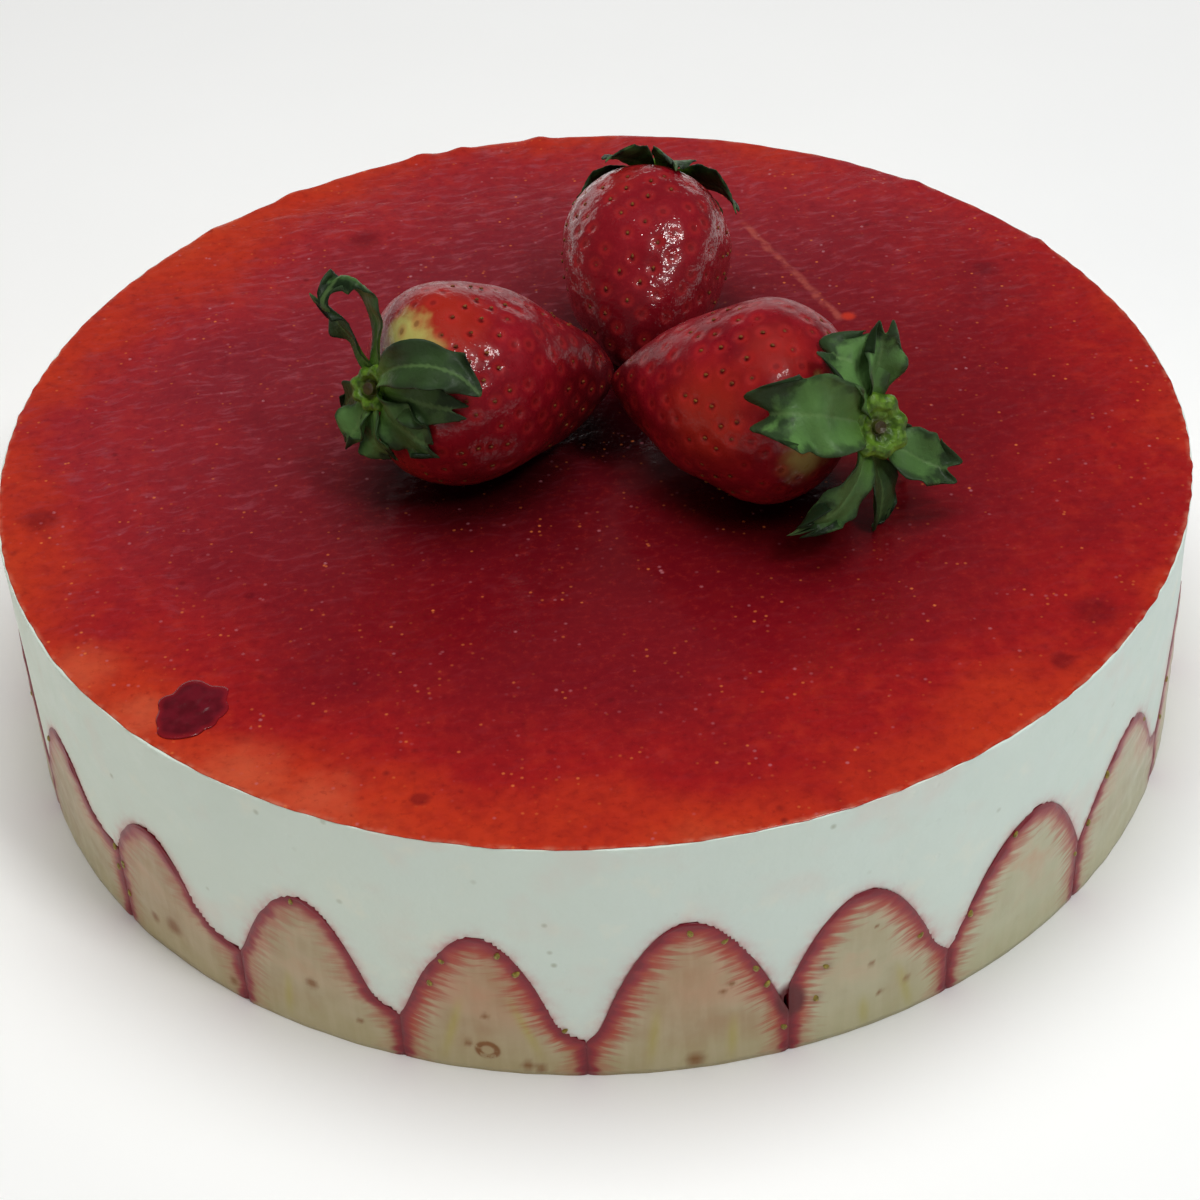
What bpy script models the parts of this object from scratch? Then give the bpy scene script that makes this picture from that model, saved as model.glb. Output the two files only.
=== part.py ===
"""Strawberry cake: ring-moulded cream with halved berries round its side, a red jelly top and whole berries.

The cake stands on z = 0 with its axis on +Z. The front is towards -Y. Lengths are metres.
Places round the cake are given as degrees from the front, growing towards +X.
"""
import math
import random

import bmesh
import bpy
import numpy as np

MM = 0.001
CAKE_RADIUS = 115 * MM
CAKE_HEIGHT = 55 * MM
GAP = 0.3 * MM
ROUND_STEPS = 72
SEAM_MERGE = 0.001 * MM

# The jelly lies in a shallow dish in the cream and thins out towards the rim
JELLY_DEPTH = 3.5 * MM
JELLY_RIM_DEPTH = 1.0 * MM
JELLY_SLOPE_WIDTH = 14 * MM
JELLY_EDGE_ROUND = 1.2 * MM

# Halved berries stand cut face outwards along the foot of the cake
SEEN_EDGES = (-69.5, -51.6, -35.5, -19.4, -3.0, 14.8, 30.6, 47.5, 66.0, 82.5)
SEEN_TIPS = (-62.0, -46.0, -28.0, -12.0, 6.0, 21.5, 40.5, 56.5, 74.0)
SEEN_HEIGHTS = (31.0, 30.5, 33.5, 33.3, 36.2, 34.2, 32.9, 30.5, 35.0)
# How fast each half widens to its left and right, in mm for the square root of the mm below its tip
SEEN_SPREADS = (
    (3.2, 3.2), (3.4, 3.3), (3.2, 2.75), (3.0, 2.9), (3.1, 3.4),
    (3.2, 3.4), (4.1, 3.3), (4.4, 3.4), (3.2, 3.2),
)
# Height in mm up to which neighbours touch, at each edge
SEEN_MEETS = (12.0, 18.0, 13.0, 11.0, 8.7, 10.0, 10.8, 12.4, 12.0, 12.0)
OTHER_HALVES = 13
OTHER_HEIGHTS = (30.0, 36.0)
OTHER_SPREAD = 3.2
OTHER_MEET = 12.0
EDGE_SHIFT = 1.0
TIP_SHIFT = 1.5
FLARE_FALL = 1.4 * MM
HALF_DEPTH = 15 * MM
HALF_LEVELS = (0.0, 0.34, 0.44, 0.60, 0.78, 0.91, 0.975)
HALF_BACK_STEPS = 5
HALF_FACE_STEPS = 4
HALF_EDGE_SINK = 0.5 * MM
HALF_SIDE_GAP = 0.25 * MM
TIP_SINK = 1.0 * MM
POCKET_GROW = 0.4 * MM
POCKET_OUT = 3.0 * MM
POCKET_DOWN = 1.0 * MM

# A piece of berry lies sunk in the jelly near the front left rim
SUNK_PLACE = (-71.6 * MM, -76.6 * MM)
SUNK_RADIUS = 6.0 * MM
SUNK_STRETCH = 1.3
SUNK_TURN = 60.0
SUNK_SKEW = 0.15
SUNK_THICKNESS = 1.0 * MM
SUNK_PROUD = 0.3 * MM
SUNK_SIDES = 14
SUNK_TOP_SHARE = 0.9

# Whole berries lie tip to tip in the middle; places of the calyx end and of the tip in mm, and how far
# the calyx sits below the berry's axis
BERRIES = {
    "left": dict(
        calyx=(-37.7, -15.6, 78.5), tip=(4.4, 5.1, 65.2), radius=19.1, shoulder=0.54, fullness=0.61,
        hub_below=0.0,
    ),
    "right": dict(
        calyx=(47.0, -26.5, 75.6), tip=(4.0, -5.1, 70.5), radius=18.6, shoulder=0.62, fullness=0.73,
        hub_below=2.2,
    ),
    "back": dict(
        calyx=(15.5, 51.0, 78.6), tip=(7.5, 9.5, 63.6), radius=17.2, shoulder=0.70, fullness=0.62,
        hub_below=0.0,
    ),
}
BERRY_SEGMENTS = 20
BERRY_RINGS = 12
SEEDS_ON_BERRY = 21
SEED_BAND = (0.10, 0.93)
SEED_HALF_SIZE = (0.95 * MM, 0.70 * MM, 0.50 * MM)
SEED_SEGMENTS = 6
SEED_RINGS = 4
SEED_FLOOR_CLEARANCE = 1.6 * MM
SEED_TANGENT_STEP = 0.001
GOLDEN_ANGLE = math.pi * (3 - math.sqrt(5))

# Each calyx is a small green hub with a stem stub and a ring of leaves
HUB_RADIUS = 3.4 * MM
HUB_TOP_RADIUS = 2.6 * MM
HUB_SIDES = 12
HUB_ABOVE_LEAVES = 0.9 * MM
STUB_RADIUS = 1.3 * MM
STUB_LENGTH = 3.5 * MM
STUB_ROOT = 1.0 * MM
STUB_SIDES = 6
HUB_HEIGHTS = {"left": 2.0, "right": 3.0, "back": 2.0}
LEAF_START = 2.0 * MM
LEAF_THICKNESS = 0.7 * MM
LEAF_BERRY_CLEARANCE = 1.1 * MM
LEAF_FLOOR_CLEARANCE = 0.8 * MM
LEAF_COLUMNS = 4
LEAF_LINE_STEPS = 60
LEAF_FOOT_SHARE = 0.35
LEAF_WIDEST = 0.55
LEAF_NARROWS = 0.6
LEAF_NARROW_POWER = 1.6
BERRY_CENTRE_SHARE = 0.4
SKIN_SAMPLES = 400

# A leaf's turn is its place round the calyx from straight up. Its lift is the angle away from the
# berry at its foot, and its curl the angle by which it then bends, negative back over the berry.
LEAVES = {
    "left": (
        dict(
            turn=18, length=29, width=8, lift=0, curl=235, late=3.2, twist=-15, cup=0.1, blunt=0.04, rows=9,
        ),
        dict(turn=-34, length=28.5, width=9, lift=30, curl=-130, sweep=-50, end=0.8, blunt=0.04),
        dict(turn=-72, length=21, width=9, lift=10, curl=-100, sweep=-6, end=0.5),
        dict(turn=-102, length=18.5, width=10, lift=20, curl=-110, sweep=-6, end=0.5),
        dict(turn=-145, length=14, width=9, lift=30, curl=-80),
        dict(turn=-178, length=11.5, width=9, lift=40, curl=-40),
        dict(turn=124, length=15, width=6, lift=20, curl=-50, sweep=30),
        dict(turn=42, length=20, width=5, lift=20, curl=30, sweep=-12),
    ),
    "right": (
        dict(turn=5, length=20.5, width=13, lift=28, curl=-105, sweep=12, end=0.9),
        dict(turn=-13, length=20, width=9, lift=20, curl=-20, twist=-55, end=0.6),
        dict(turn=50, length=31, width=14, lift=22, curl=-120, sweep=10, end=0.85),
        dict(turn=-136, length=21, width=8, lift=20, curl=-30),
        dict(turn=-160, length=20, width=10, lift=50, curl=0, sweep=12, twist=20, end=0.85),
        dict(turn=165, length=22, width=9, lift=30, curl=-50, twist=20),
        dict(turn=112, length=27, width=8.5, lift=30, curl=-95, twist=30),
    ),
    "back": (
        dict(turn=74, length=22, width=9, lift=0, curl=-70),
        dict(turn=22, length=18, width=9, lift=0, curl=-70),
        dict(turn=-28, length=19, width=9, lift=0, curl=-60),
        dict(turn=-78, length=19, width=8, lift=0, curl=-75),
        dict(turn=130, length=18, width=9, lift=0, curl=-60),
        dict(turn=-140, length=17, width=9, lift=0, curl=-60),
    ),
}
LEAF_DEFAULTS = dict(late=1.0, sweep=0.0, twist=0.0, cup=0.25, end=0.4, blunt=0.16, rows=6)

CREAM_COLOUR = (0.60, 0.62, 0.55)
JELLY_COLOUR = (0.35, 0.01, 0.01)
FLESH_COLOUR = (0.42, 0.25, 0.16)
SUNK_COLOUR = (0.12, 0.01, 0.02)
SKIN_COLOUR = (0.38, 0.01, 0.02)
LEAF_COLOUR = (0.05, 0.14, 0.05)


def clear_scene():
    for old in list(bpy.data.objects):
        bpy.data.objects.remove(old)


def new_collection(name, parent=None):
    collection = bpy.data.collections.new(name)
    (parent or bpy.context.scene.collection).children.link(collection)
    return collection


def make_material(name, colour, roughness):
    material = bpy.data.materials.new(name)
    material.use_nodes = True
    shader = material.node_tree.nodes["Principled BSDF"]
    shader.inputs["Base Color"].default_value = (*colour, 1.0)
    shader.inputs["Roughness"].default_value = roughness
    shader.inputs["Metallic"].default_value = 0.0
    return material


def object_from_bmesh(name, shape, collection, material=None):
    mesh = bpy.data.meshes.new(name)
    shape.to_mesh(mesh)
    shape.free()
    piece = bpy.data.objects.new(name, mesh)
    if material:
        mesh.materials.append(material)
    collection.objects.link(piece)
    return piece


def make_cutter(cutter):
    cutter.hide_render = True
    cutter.display_type = "WIRE"


def turned_piece(name, profile, collection, material):
    """Turn (radius, height) points, listed from the top down, into a solid of revolution."""
    shape = bmesh.new()
    corners = [shape.verts.new((radius, 0.0, height)) for radius, height in profile]
    for upper, lower in zip(corners, corners[1:]):
        shape.edges.new((upper, lower))
    piece = object_from_bmesh(name, shape, collection, material)
    screw = piece.modifiers.new("turn", "SCREW")
    screw.axis = "Z"
    screw.angle = 2 * math.pi
    screw.steps = ROUND_STEPS
    screw.render_steps = ROUND_STEPS
    screw.use_merge_vertices = True
    screw.merge_threshold = SEAM_MERGE
    return piece


def add_boolean(piece, operation, operands):
    cut = piece.modifiers.new(operation.lower(), "BOOLEAN")
    cut.operation = operation
    cut.operand_type = "COLLECTION"
    cut.collection = operands
    cut.solver = "EXACT"
    return cut


def fuse(piece, loose):
    """Join every object of the loose collection to the piece, apply it and remove the loose objects."""
    add_boolean(piece, "UNION", loose)
    graph = bpy.context.evaluated_depsgraph_get()
    joined = bpy.data.meshes.new_from_object(piece.evaluated_get(graph))
    piece.modifiers.clear()
    piece.data = joined
    for scrap in list(loose.objects):
        bpy.data.objects.remove(scrap)
    bpy.data.collections.remove(loose)


# Cake ring and jelly

def dish_profile(drop):
    """Floor of the jelly from the middle out to the rim, lowered by drop."""
    return [
        (0.0, CAKE_HEIGHT - JELLY_DEPTH - drop),
        (CAKE_RADIUS - JELLY_SLOPE_WIDTH, CAKE_HEIGHT - JELLY_DEPTH - drop),
        (CAKE_RADIUS, CAKE_HEIGHT - JELLY_RIM_DEPTH - drop),
    ]


def build_cream(collection, pockets, material):
    profile = dish_profile(GAP) + [(CAKE_RADIUS, 0.0), (0.0, 0.0)]
    cream = turned_piece("cream_body", profile, collection, material)
    add_boolean(cream, "DIFFERENCE", pockets)


def build_jelly(collection, pockets, material):
    rounded_edge = [
        (CAKE_RADIUS - JELLY_EDGE_ROUND, CAKE_HEIGHT),
        (CAKE_RADIUS - JELLY_EDGE_ROUND / 4, CAKE_HEIGHT - JELLY_RIM_DEPTH / 4),
    ]
    profile = [(0.0, CAKE_HEIGHT)] + rounded_edge + dish_profile(0.0)[::-1]
    jelly = turned_piece("jelly_top", profile, collection, material)
    add_boolean(jelly, "DIFFERENCE", pockets)


# Halved berries

def ring_layout():
    """Each half's angle and height, and for its left and right side the reach, spread and meeting height.

    Those at the front are as measured, and an even run of others follows round the back.
    """
    rng = random.Random(7)
    edges = list(SEEN_EDGES)
    tips = list(SEEN_TIPS)
    heights = list(SEEN_HEIGHTS)
    first, last = edges[-1], edges[0] + 360.0
    pitch = (last - first) / OTHER_HALVES
    for number in range(1, OTHER_HALVES + 1):
        shift = 0.0 if number == OTHER_HALVES else rng.uniform(-EDGE_SHIFT, EDGE_SHIFT)
        edges.append(first + pitch * number + shift)
        middle = (edges[-1] + edges[-2]) / 2
        tips.append(middle + rng.uniform(-TIP_SHIFT, TIP_SHIFT))
        heights.append(rng.uniform(*OTHER_HEIGHTS))
    spreads = list(SEEN_SPREADS) + [(OTHER_SPREAD, OTHER_SPREAD)] * OTHER_HALVES
    meets = list(SEEN_MEETS) + [OTHER_MEET] * (OTHER_HALVES - 1) + [SEEN_MEETS[0]]
    halves = []
    for number, (tip, height) in enumerate(zip(tips, heights)):
        sides = []
        for side in (0, 1):
            reach = abs(math.radians(edges[number + side] - tip)) * CAKE_RADIUS - HALF_SIDE_GAP
            sides.append((reach, spreads[number][side], meets[number + side] * MM))
        halves.append(dict(angle=math.radians(tip), left=sides[0], right=sides[1], height=height * MM))
    return halves


def ring_point(angle, radius, height):
    return (radius * math.sin(angle), -radius * math.cos(angle), height)


def side_width(top, side, height):
    """Width of a half to one side of its tip at a height.

    It is the side's spread times the square root of the distance below the tip. Where that leaves a gap to
    the neighbour at the meeting height, the half flares out to close it, and the flare dies away upwards.
    """
    reach, spread, meet = side
    width = spread * math.sqrt(max(0.0, top - height) / MM) * MM
    missing = max(0.0, reach - spread * math.sqrt(max(0.0, top - meet) / MM) * MM)
    return width + missing * math.exp(-max(0.0, height - meet) / FLARE_FALL)


def half_level(half, height, grow=0.0):
    """Back of a half berry at one height, as (distance along the side, depth) from right to left.

    Its back is a half ellipse, HALF_DEPTH deep at the foot and shallower with the square root of the share
    of height left. Growing moves the outline out and up.
    """
    top = half["height"]
    depth = HALF_DEPTH * math.sqrt(max(0.0, 1 - (height - grow) / top)) + grow
    outline = []
    for step in range(HALF_BACK_STEPS + 1):
        around = math.pi * step / HALF_BACK_STEPS
        side = half["right"] if math.cos(around) > 0 else half["left"]
        along = (side_width(top, side, height - grow) + grow) * math.cos(around)
        outline.append((along, depth * math.sin(around)))
    return outline


def half_berry_rings(half):
    """The half berry itself, cut off at each side where the next berry begins."""
    rings = []
    for level in HALF_LEVELS:
        height = level * half["height"]
        outline = [(min(max(along, -half["left"][0]), half["right"][0]), depth)
                   for along, depth in half_level(half, height)]
        ring = []
        for along, depth in outline:
            radius = CAKE_RADIUS - max(depth, HALF_EDGE_SINK)
            ring.append(ring_point(half["angle"] + along / CAKE_RADIUS, radius, height))
        left, right = outline[-1][0], outline[0][0]
        for step in range(1, HALF_FACE_STEPS):
            along = left + (right - left) * step / HALF_FACE_STEPS
            ring.append(ring_point(half["angle"] + along / CAKE_RADIUS, CAKE_RADIUS, height))
        rings.append(ring)
    return rings, ring_point(half["angle"], CAKE_RADIUS - TIP_SINK, half["height"])


def pocket_rings(half):
    """The half berry's back grown by the clearance, run out through the cake's side and foot.

    It runs on into the next pocket, so that neighbouring pockets open into one another.
    """
    rings = []
    levels = [-POCKET_DOWN] + [level * half["height"] for level in HALF_LEVELS[1:]]
    for height in levels:
        outline = half_level(half, height, POCKET_GROW)
        ring = [ring_point(half["angle"] + along / CAKE_RADIUS, CAKE_RADIUS - depth, height)
                for along, depth in outline]
        for along in (outline[-1][0], outline[0][0]):
            ring.append(ring_point(half["angle"] + along / CAKE_RADIUS, CAKE_RADIUS + POCKET_OUT, height))
        rings.append(ring)
    return rings, ring_point(half["angle"], CAKE_RADIUS - TIP_SINK, half["height"] + POCKET_GROW)


def loft(name, rings, apex, collection, material=None):
    """Closed solid through rings of equal size, flat below and coming to a point above."""
    shape = bmesh.new()
    levels = [[shape.verts.new(point) for point in ring] for ring in rings]
    count = len(levels[0])
    for lower, upper in zip(levels, levels[1:]):
        for i in range(count):
            j = (i + 1) % count
            shape.faces.new((lower[i], lower[j], upper[j], upper[i]))
    top = shape.verts.new(apex)
    for i in range(count):
        shape.faces.new((levels[-1][i], levels[-1][(i + 1) % count], top))
    shape.faces.new(levels[0][::-1])
    bmesh.ops.recalc_face_normals(shape, faces=shape.faces)
    return object_from_bmesh(name, shape, collection, material)


def build_halves(collection, pockets, material):
    for number, half in enumerate(ring_layout(), start=1):
        loft(f"berry_half_{number:02d}", *half_berry_rings(half), collection, material)
        make_cutter(loft(f"pocket_{number:02d}", *pocket_rings(half), pockets))


# Sunk piece of berry

def sunk_disc(name, radius, low, high, top_share, collection, material=None):
    """Low uneven disc, a little wider below than on top."""
    shape = bmesh.new()
    bmesh.ops.create_cone(shape, cap_ends=True, segments=SUNK_SIDES,
                          radius1=radius, radius2=radius * top_share, depth=high - low)
    turn = math.radians(SUNK_TURN)
    for vert in shape.verts:
        x, y = vert.co.x * SUNK_STRETCH, vert.co.y * (1 + SUNK_SKEW * vert.co.x / radius)
        vert.co.x = SUNK_PLACE[0] + x * math.cos(turn) - y * math.sin(turn)
        vert.co.y = SUNK_PLACE[1] + x * math.sin(turn) + y * math.cos(turn)
        vert.co.z += (high + low) / 2
    return object_from_bmesh(name, shape, collection, material)


def build_sunk_piece(collection, pockets, material):
    top = CAKE_HEIGHT + SUNK_PROUD
    bottom = top - SUNK_THICKNESS
    sunk_disc("sunk_berry_piece", SUNK_RADIUS, bottom, top, SUNK_TOP_SHARE, collection, material)
    make_cutter(sunk_disc("sunk_pocket", SUNK_RADIUS + GAP, bottom - GAP, top + POCKET_OUT, 1.0, pockets))


# Whole berries

def berry_frame(berry):
    """Calyx end, unit axis from tip to calyx, upward and sideways unit vectors across it, and length."""
    calyx = np.array(berry["calyx"]) * MM
    tip = np.array(berry["tip"]) * MM
    length = np.linalg.norm(calyx - tip)
    axis = (calyx - tip) / length
    up = np.array((0.0, 0.0, 1.0)) - axis[2] * axis
    up /= np.linalg.norm(up)
    return calyx, axis, up, np.cross(axis, up), length


def body_radius(berry, share):
    """Radius at a share of the length from the calyx: radius * sin(pi * share^shoulder)^fullness."""
    bulge = np.sin(math.pi * np.clip(share, 0, 1) ** berry["shoulder"])
    return berry["radius"] * MM * np.clip(bulge, 0, 1) ** berry["fullness"]


def body_point(berry, share, around):
    calyx, axis, up, side, length = berry_frame(berry)
    out = up * math.cos(around) + side * math.sin(around)
    return calyx - axis * length * share + out * body_radius(berry, share)


def build_berry_body(name, berry, collection, material):
    shape = bmesh.new()
    bmesh.ops.create_uvsphere(shape, u_segments=BERRY_SEGMENTS, v_segments=BERRY_RINGS, radius=1.0)
    for vert in shape.verts:
        share = (1 - vert.co.z) / 2
        vert.co = body_point(berry, share, math.atan2(vert.co.y, vert.co.x))
    for face in shape.faces:
        face.smooth = True
    return object_from_bmesh(name, shape, collection, material)


def add_seeds(berry, loose):
    """Seeds in a golden-angle spiral, each a small ellipsoid half sunk in the skin."""
    step = SEED_TANGENT_STEP
    low, high = SEED_BAND
    for number in range(SEEDS_ON_BERRY):
        share = low + (high - low) * (number + 0.5) / SEEDS_ON_BERRY
        around = number * GOLDEN_ANGLE
        place = body_point(berry, share, around)
        if place[2] < CAKE_HEIGHT + SEED_FLOOR_CLEARANCE:
            continue
        along = body_point(berry, share - step, around) - body_point(berry, share + step, around)
        across = body_point(berry, share, around + step) - body_point(berry, share, around - step)
        along /= np.linalg.norm(along)
        across /= np.linalg.norm(across)
        outward = np.cross(across, along)
        if outward @ (place - body_point(berry, share, around + math.pi)) < 0:
            outward = -outward
            across = -across
        shape = bmesh.new()
        bmesh.ops.create_uvsphere(shape, u_segments=SEED_SEGMENTS, v_segments=SEED_RINGS, radius=1.0)
        for vert in shape.verts:
            vert.co = (place + along * SEED_HALF_SIZE[0] * vert.co.x
                       + across * SEED_HALF_SIZE[1] * vert.co.y
                       + outward * SEED_HALF_SIZE[2] * vert.co.z)
        bmesh.ops.recalc_face_normals(shape, faces=shape.faces)
        object_from_bmesh(f"seed_{number:02d}", shape, loose)


def build_whole_berries(collection, material):
    for place, berry in BERRIES.items():
        body = build_berry_body(f"whole_berry_{place}", berry, collection, material)
        loose = new_collection("loose_seeds")
        add_seeds(berry, loose)
        fuse(body, loose)


# Calyces

def leaf_half_width(leaf, along):
    """Narrow foot, widest past the middle, then drawn in to the end share of the width."""
    grow = np.clip(along / LEAF_WIDEST, 0, 1)
    rise = LEAF_FOOT_SHARE + (1 - LEAF_FOOT_SHARE) * grow * grow * (3 - 2 * grow)
    fall = np.clip((along - LEAF_NARROWS) / (1 - LEAF_NARROWS), 0, 1) ** LEAF_NARROW_POWER
    return leaf["width"] * MM / 2 * rise * (1 - (1 - leaf["end"]) * fall)


def push_off_berry(berry, points, clearance):
    """Move points straight out from the berry's middle until they stand clear of its skin."""
    calyx, axis, up, side, length = berry_frame(berry)
    shares = np.linspace(0, 1, SKIN_SAMPLES)
    radii = body_radius(berry, shares)
    ahead = (BERRY_CENTRE_SHARE - shares) * length
    skin_angle = np.arctan2(radii, ahead)
    skin_reach = np.hypot(radii, ahead)
    centre = calyx - axis * BERRY_CENTRE_SHARE * length
    offset = points - centre
    reach = np.linalg.norm(offset, axis=-1)
    angle = np.arccos(np.clip(offset @ axis / reach, -1, 1))
    needed = np.interp(angle, skin_angle, skin_reach) + clearance
    return centre + offset * np.maximum(needed / reach, 1.0)[..., None]


def leaf_grid(berry, leaf, hub_height):
    """Middle surface of a leaf: a foot-to-end line that bends and sweeps, with cupped cross lines on it."""
    calyx, axis, up, side, length = berry_frame(berry)
    turn = math.radians(leaf["turn"])
    outward = up * math.cos(turn) + side * math.sin(turn)
    across = -up * math.sin(turn) + side * math.cos(turn)
    fine = np.linspace(0, 1, LEAF_LINE_STEPS + 1)
    bend = np.radians(leaf["lift"] + leaf["curl"] * fine ** leaf["late"])[:, None]
    sweep = np.radians(leaf["sweep"] * fine)[:, None]
    twist = np.radians(leaf["twist"] * fine)[:, None]
    rising = np.cos(bend) * outward + np.sin(bend) * axis
    forward = np.cos(sweep) * rising + np.sin(sweep) * across
    flat_across = np.cos(sweep) * across - np.sin(sweep) * rising
    flat_normal = np.cos(bend) * axis - np.sin(bend) * outward
    line_across = np.cos(twist) * flat_across + np.sin(twist) * flat_normal
    line_normal = np.cos(twist) * flat_normal - np.sin(twist) * flat_across
    steps = (forward[1:] + forward[:-1]) / 2 * leaf["length"] * MM / LEAF_LINE_STEPS
    line = np.concatenate([np.zeros((1, 3)), np.cumsum(steps, axis=0)])
    rows, columns = np.linspace(0, 1, leaf["rows"]), np.linspace(-1, 1, LEAF_COLUMNS)
    along, cross = np.meshgrid(rows, columns, indexing="ij")
    place = along * (1 - leaf["blunt"] * cross ** 2 * along)

    def at(values):
        return np.stack([np.interp(place, fine, values[:, k]) for k in range(3)], axis=-1)

    half_width = leaf_half_width(leaf, along)[..., None]
    foot = calyx + axis * hub_height - up * berry["hub_below"] * MM + outward * LEAF_START
    points = (foot + at(line) + at(line_across) * cross[..., None] * half_width
              + at(line_normal) * leaf["cup"] * half_width * cross[..., None] ** 2)
    points = push_off_berry(berry, points, LEAF_BERRY_CLEARANCE)
    points[..., 2] = np.maximum(points[..., 2], CAKE_HEIGHT + LEAF_FLOOR_CLEARANCE)
    return points


def build_leaf(name, points, loose):
    """A grid of triangles given thickness, so that both faces are split alike."""
    rows, columns = points.shape[:2]
    shape = bmesh.new()
    verts = [[shape.verts.new(points[i, j]) for j in range(columns)] for i in range(rows)]
    for i in range(rows - 1):
        for j in range(columns - 1):
            shape.faces.new((verts[i][j], verts[i + 1][j], verts[i + 1][j + 1]))
            shape.faces.new((verts[i][j], verts[i + 1][j + 1], verts[i][j + 1]))
    leaf = object_from_bmesh(name, shape, loose)
    solid = leaf.modifiers.new("thickness", "SOLIDIFY")
    solid.thickness = LEAF_THICKNESS
    solid.offset = 0.0
    solid.use_even_offset = False


def stump(name, berry, low, high, radius, top_radius, sides, collection, material=None):
    """Tapered round block hub_below under the berry's axis, between two heights above its calyx end."""
    calyx, axis, up, side, length = berry_frame(berry)
    shape = bmesh.new()
    bmesh.ops.create_cone(shape, cap_ends=True, segments=sides,
                          radius1=radius, radius2=top_radius, depth=high - low)
    for vert in shape.verts:
        height = vert.co.z + (high + low) / 2
        vert.co = calyx + axis * height + up * (vert.co.x - berry["hub_below"] * MM) + side * vert.co.y
    return object_from_bmesh(name, shape, collection, material)


def build_calyces(collection, material):
    for place, berry in BERRIES.items():
        hub_height = HUB_HEIGHTS[place] * MM
        hub_top = hub_height + HUB_ABOVE_LEAVES
        hub = stump(f"calyx_{place}", berry, GAP, hub_top, HUB_RADIUS, HUB_TOP_RADIUS, HUB_SIDES,
                    collection, material)
        loose = new_collection("loose_leaves")
        stub_low, stub_high = hub_top - STUB_ROOT, hub_top + STUB_LENGTH
        stump("stub", berry, stub_low, stub_high, STUB_RADIUS, STUB_RADIUS, STUB_SIDES, loose)
        for number, leaf in enumerate(LEAVES[place]):
            points = leaf_grid(berry, {**LEAF_DEFAULTS, **leaf}, hub_height)
            build_leaf(f"leaf_{number}", points, loose)
        fuse(hub, loose)


clear_scene()
cake = new_collection("strawberry_cake")
cutters = new_collection("cutters")
berry_pockets = new_collection("berry_pockets", cutters)
jelly_pockets = new_collection("jelly_pockets", cutters)
build_cream(cake, berry_pockets, make_material("cream", CREAM_COLOUR, 0.55))
build_jelly(cake, jelly_pockets, make_material("red_jelly", JELLY_COLOUR, 0.2))
build_halves(cake, berry_pockets, make_material("cut_berry", FLESH_COLOUR, 0.4))
build_sunk_piece(cake, jelly_pockets, make_material("sunk_berry", SUNK_COLOUR, 0.3))
build_whole_berries(cake, make_material("berry_skin", SKIN_COLOUR, 0.3))
build_calyces(cake, make_material("berry_leaf", LEAF_COLOUR, 0.5))
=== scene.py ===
"""Looks of the strawberry cake with a red jelly top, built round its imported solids.

Lengths are metres in the frame's own axes: the cake stands on z = 0 with its axis on +Z and its front towards
-Y. Angles round the cake are radians from the front, growing towards +X. Material patterns are worked out in
millimetres.
"""

import math

import bmesh
import bpy
import numpy as np
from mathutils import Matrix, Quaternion, Vector


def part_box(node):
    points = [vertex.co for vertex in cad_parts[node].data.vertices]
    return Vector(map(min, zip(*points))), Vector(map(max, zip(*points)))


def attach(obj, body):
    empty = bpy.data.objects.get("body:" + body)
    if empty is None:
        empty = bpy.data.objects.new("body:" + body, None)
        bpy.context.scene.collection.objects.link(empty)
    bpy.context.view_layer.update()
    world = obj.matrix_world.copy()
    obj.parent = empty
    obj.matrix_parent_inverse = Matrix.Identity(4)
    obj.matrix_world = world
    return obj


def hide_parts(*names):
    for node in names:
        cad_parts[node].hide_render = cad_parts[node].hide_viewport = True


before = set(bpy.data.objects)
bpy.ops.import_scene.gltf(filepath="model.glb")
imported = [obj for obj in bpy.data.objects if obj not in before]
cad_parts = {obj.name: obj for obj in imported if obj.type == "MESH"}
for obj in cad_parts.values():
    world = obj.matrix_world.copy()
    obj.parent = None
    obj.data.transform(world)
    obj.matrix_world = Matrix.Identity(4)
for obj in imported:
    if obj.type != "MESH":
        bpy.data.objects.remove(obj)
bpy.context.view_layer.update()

# Cream body
# A solid disc of whipped mascarpone cream, set in a smooth ring mould. The halved berries were stood against
# the ring first, so the cream has a pocket round the back of each and takes some red juice at their edges.
MM = 0.001
CAKE_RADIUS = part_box("cream_body")[1].x
CREAM_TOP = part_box("cream_body")[1].z
JELLY_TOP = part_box("jelly_top")[1].z
JELLY_DEPTH = JELLY_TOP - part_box("jelly_top")[0].z
JELLY_SLOPE_WIDTH = 14 * MM
FOOT_ROUNDING = 0.8 * MM
LIP_BELOW_JELLY = 0.25 * MM
LIP_THICKNESS = 1.0 * MM
LIP_ROUNDING = 0.2 * MM
CREAM_COLUMNS = 1080
CREAM_ROWS = 72
CREAM_WAVES = 0.10 * MM
CREAM_WAVE_LENGTH = 22 * MM
WELD_DISTANCE = 0.002 * MM
HALF_DEPTH = 15 * MM
OUTLINE_STEPS = 240
FLARE_FALL = 1.4 * MM
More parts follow.
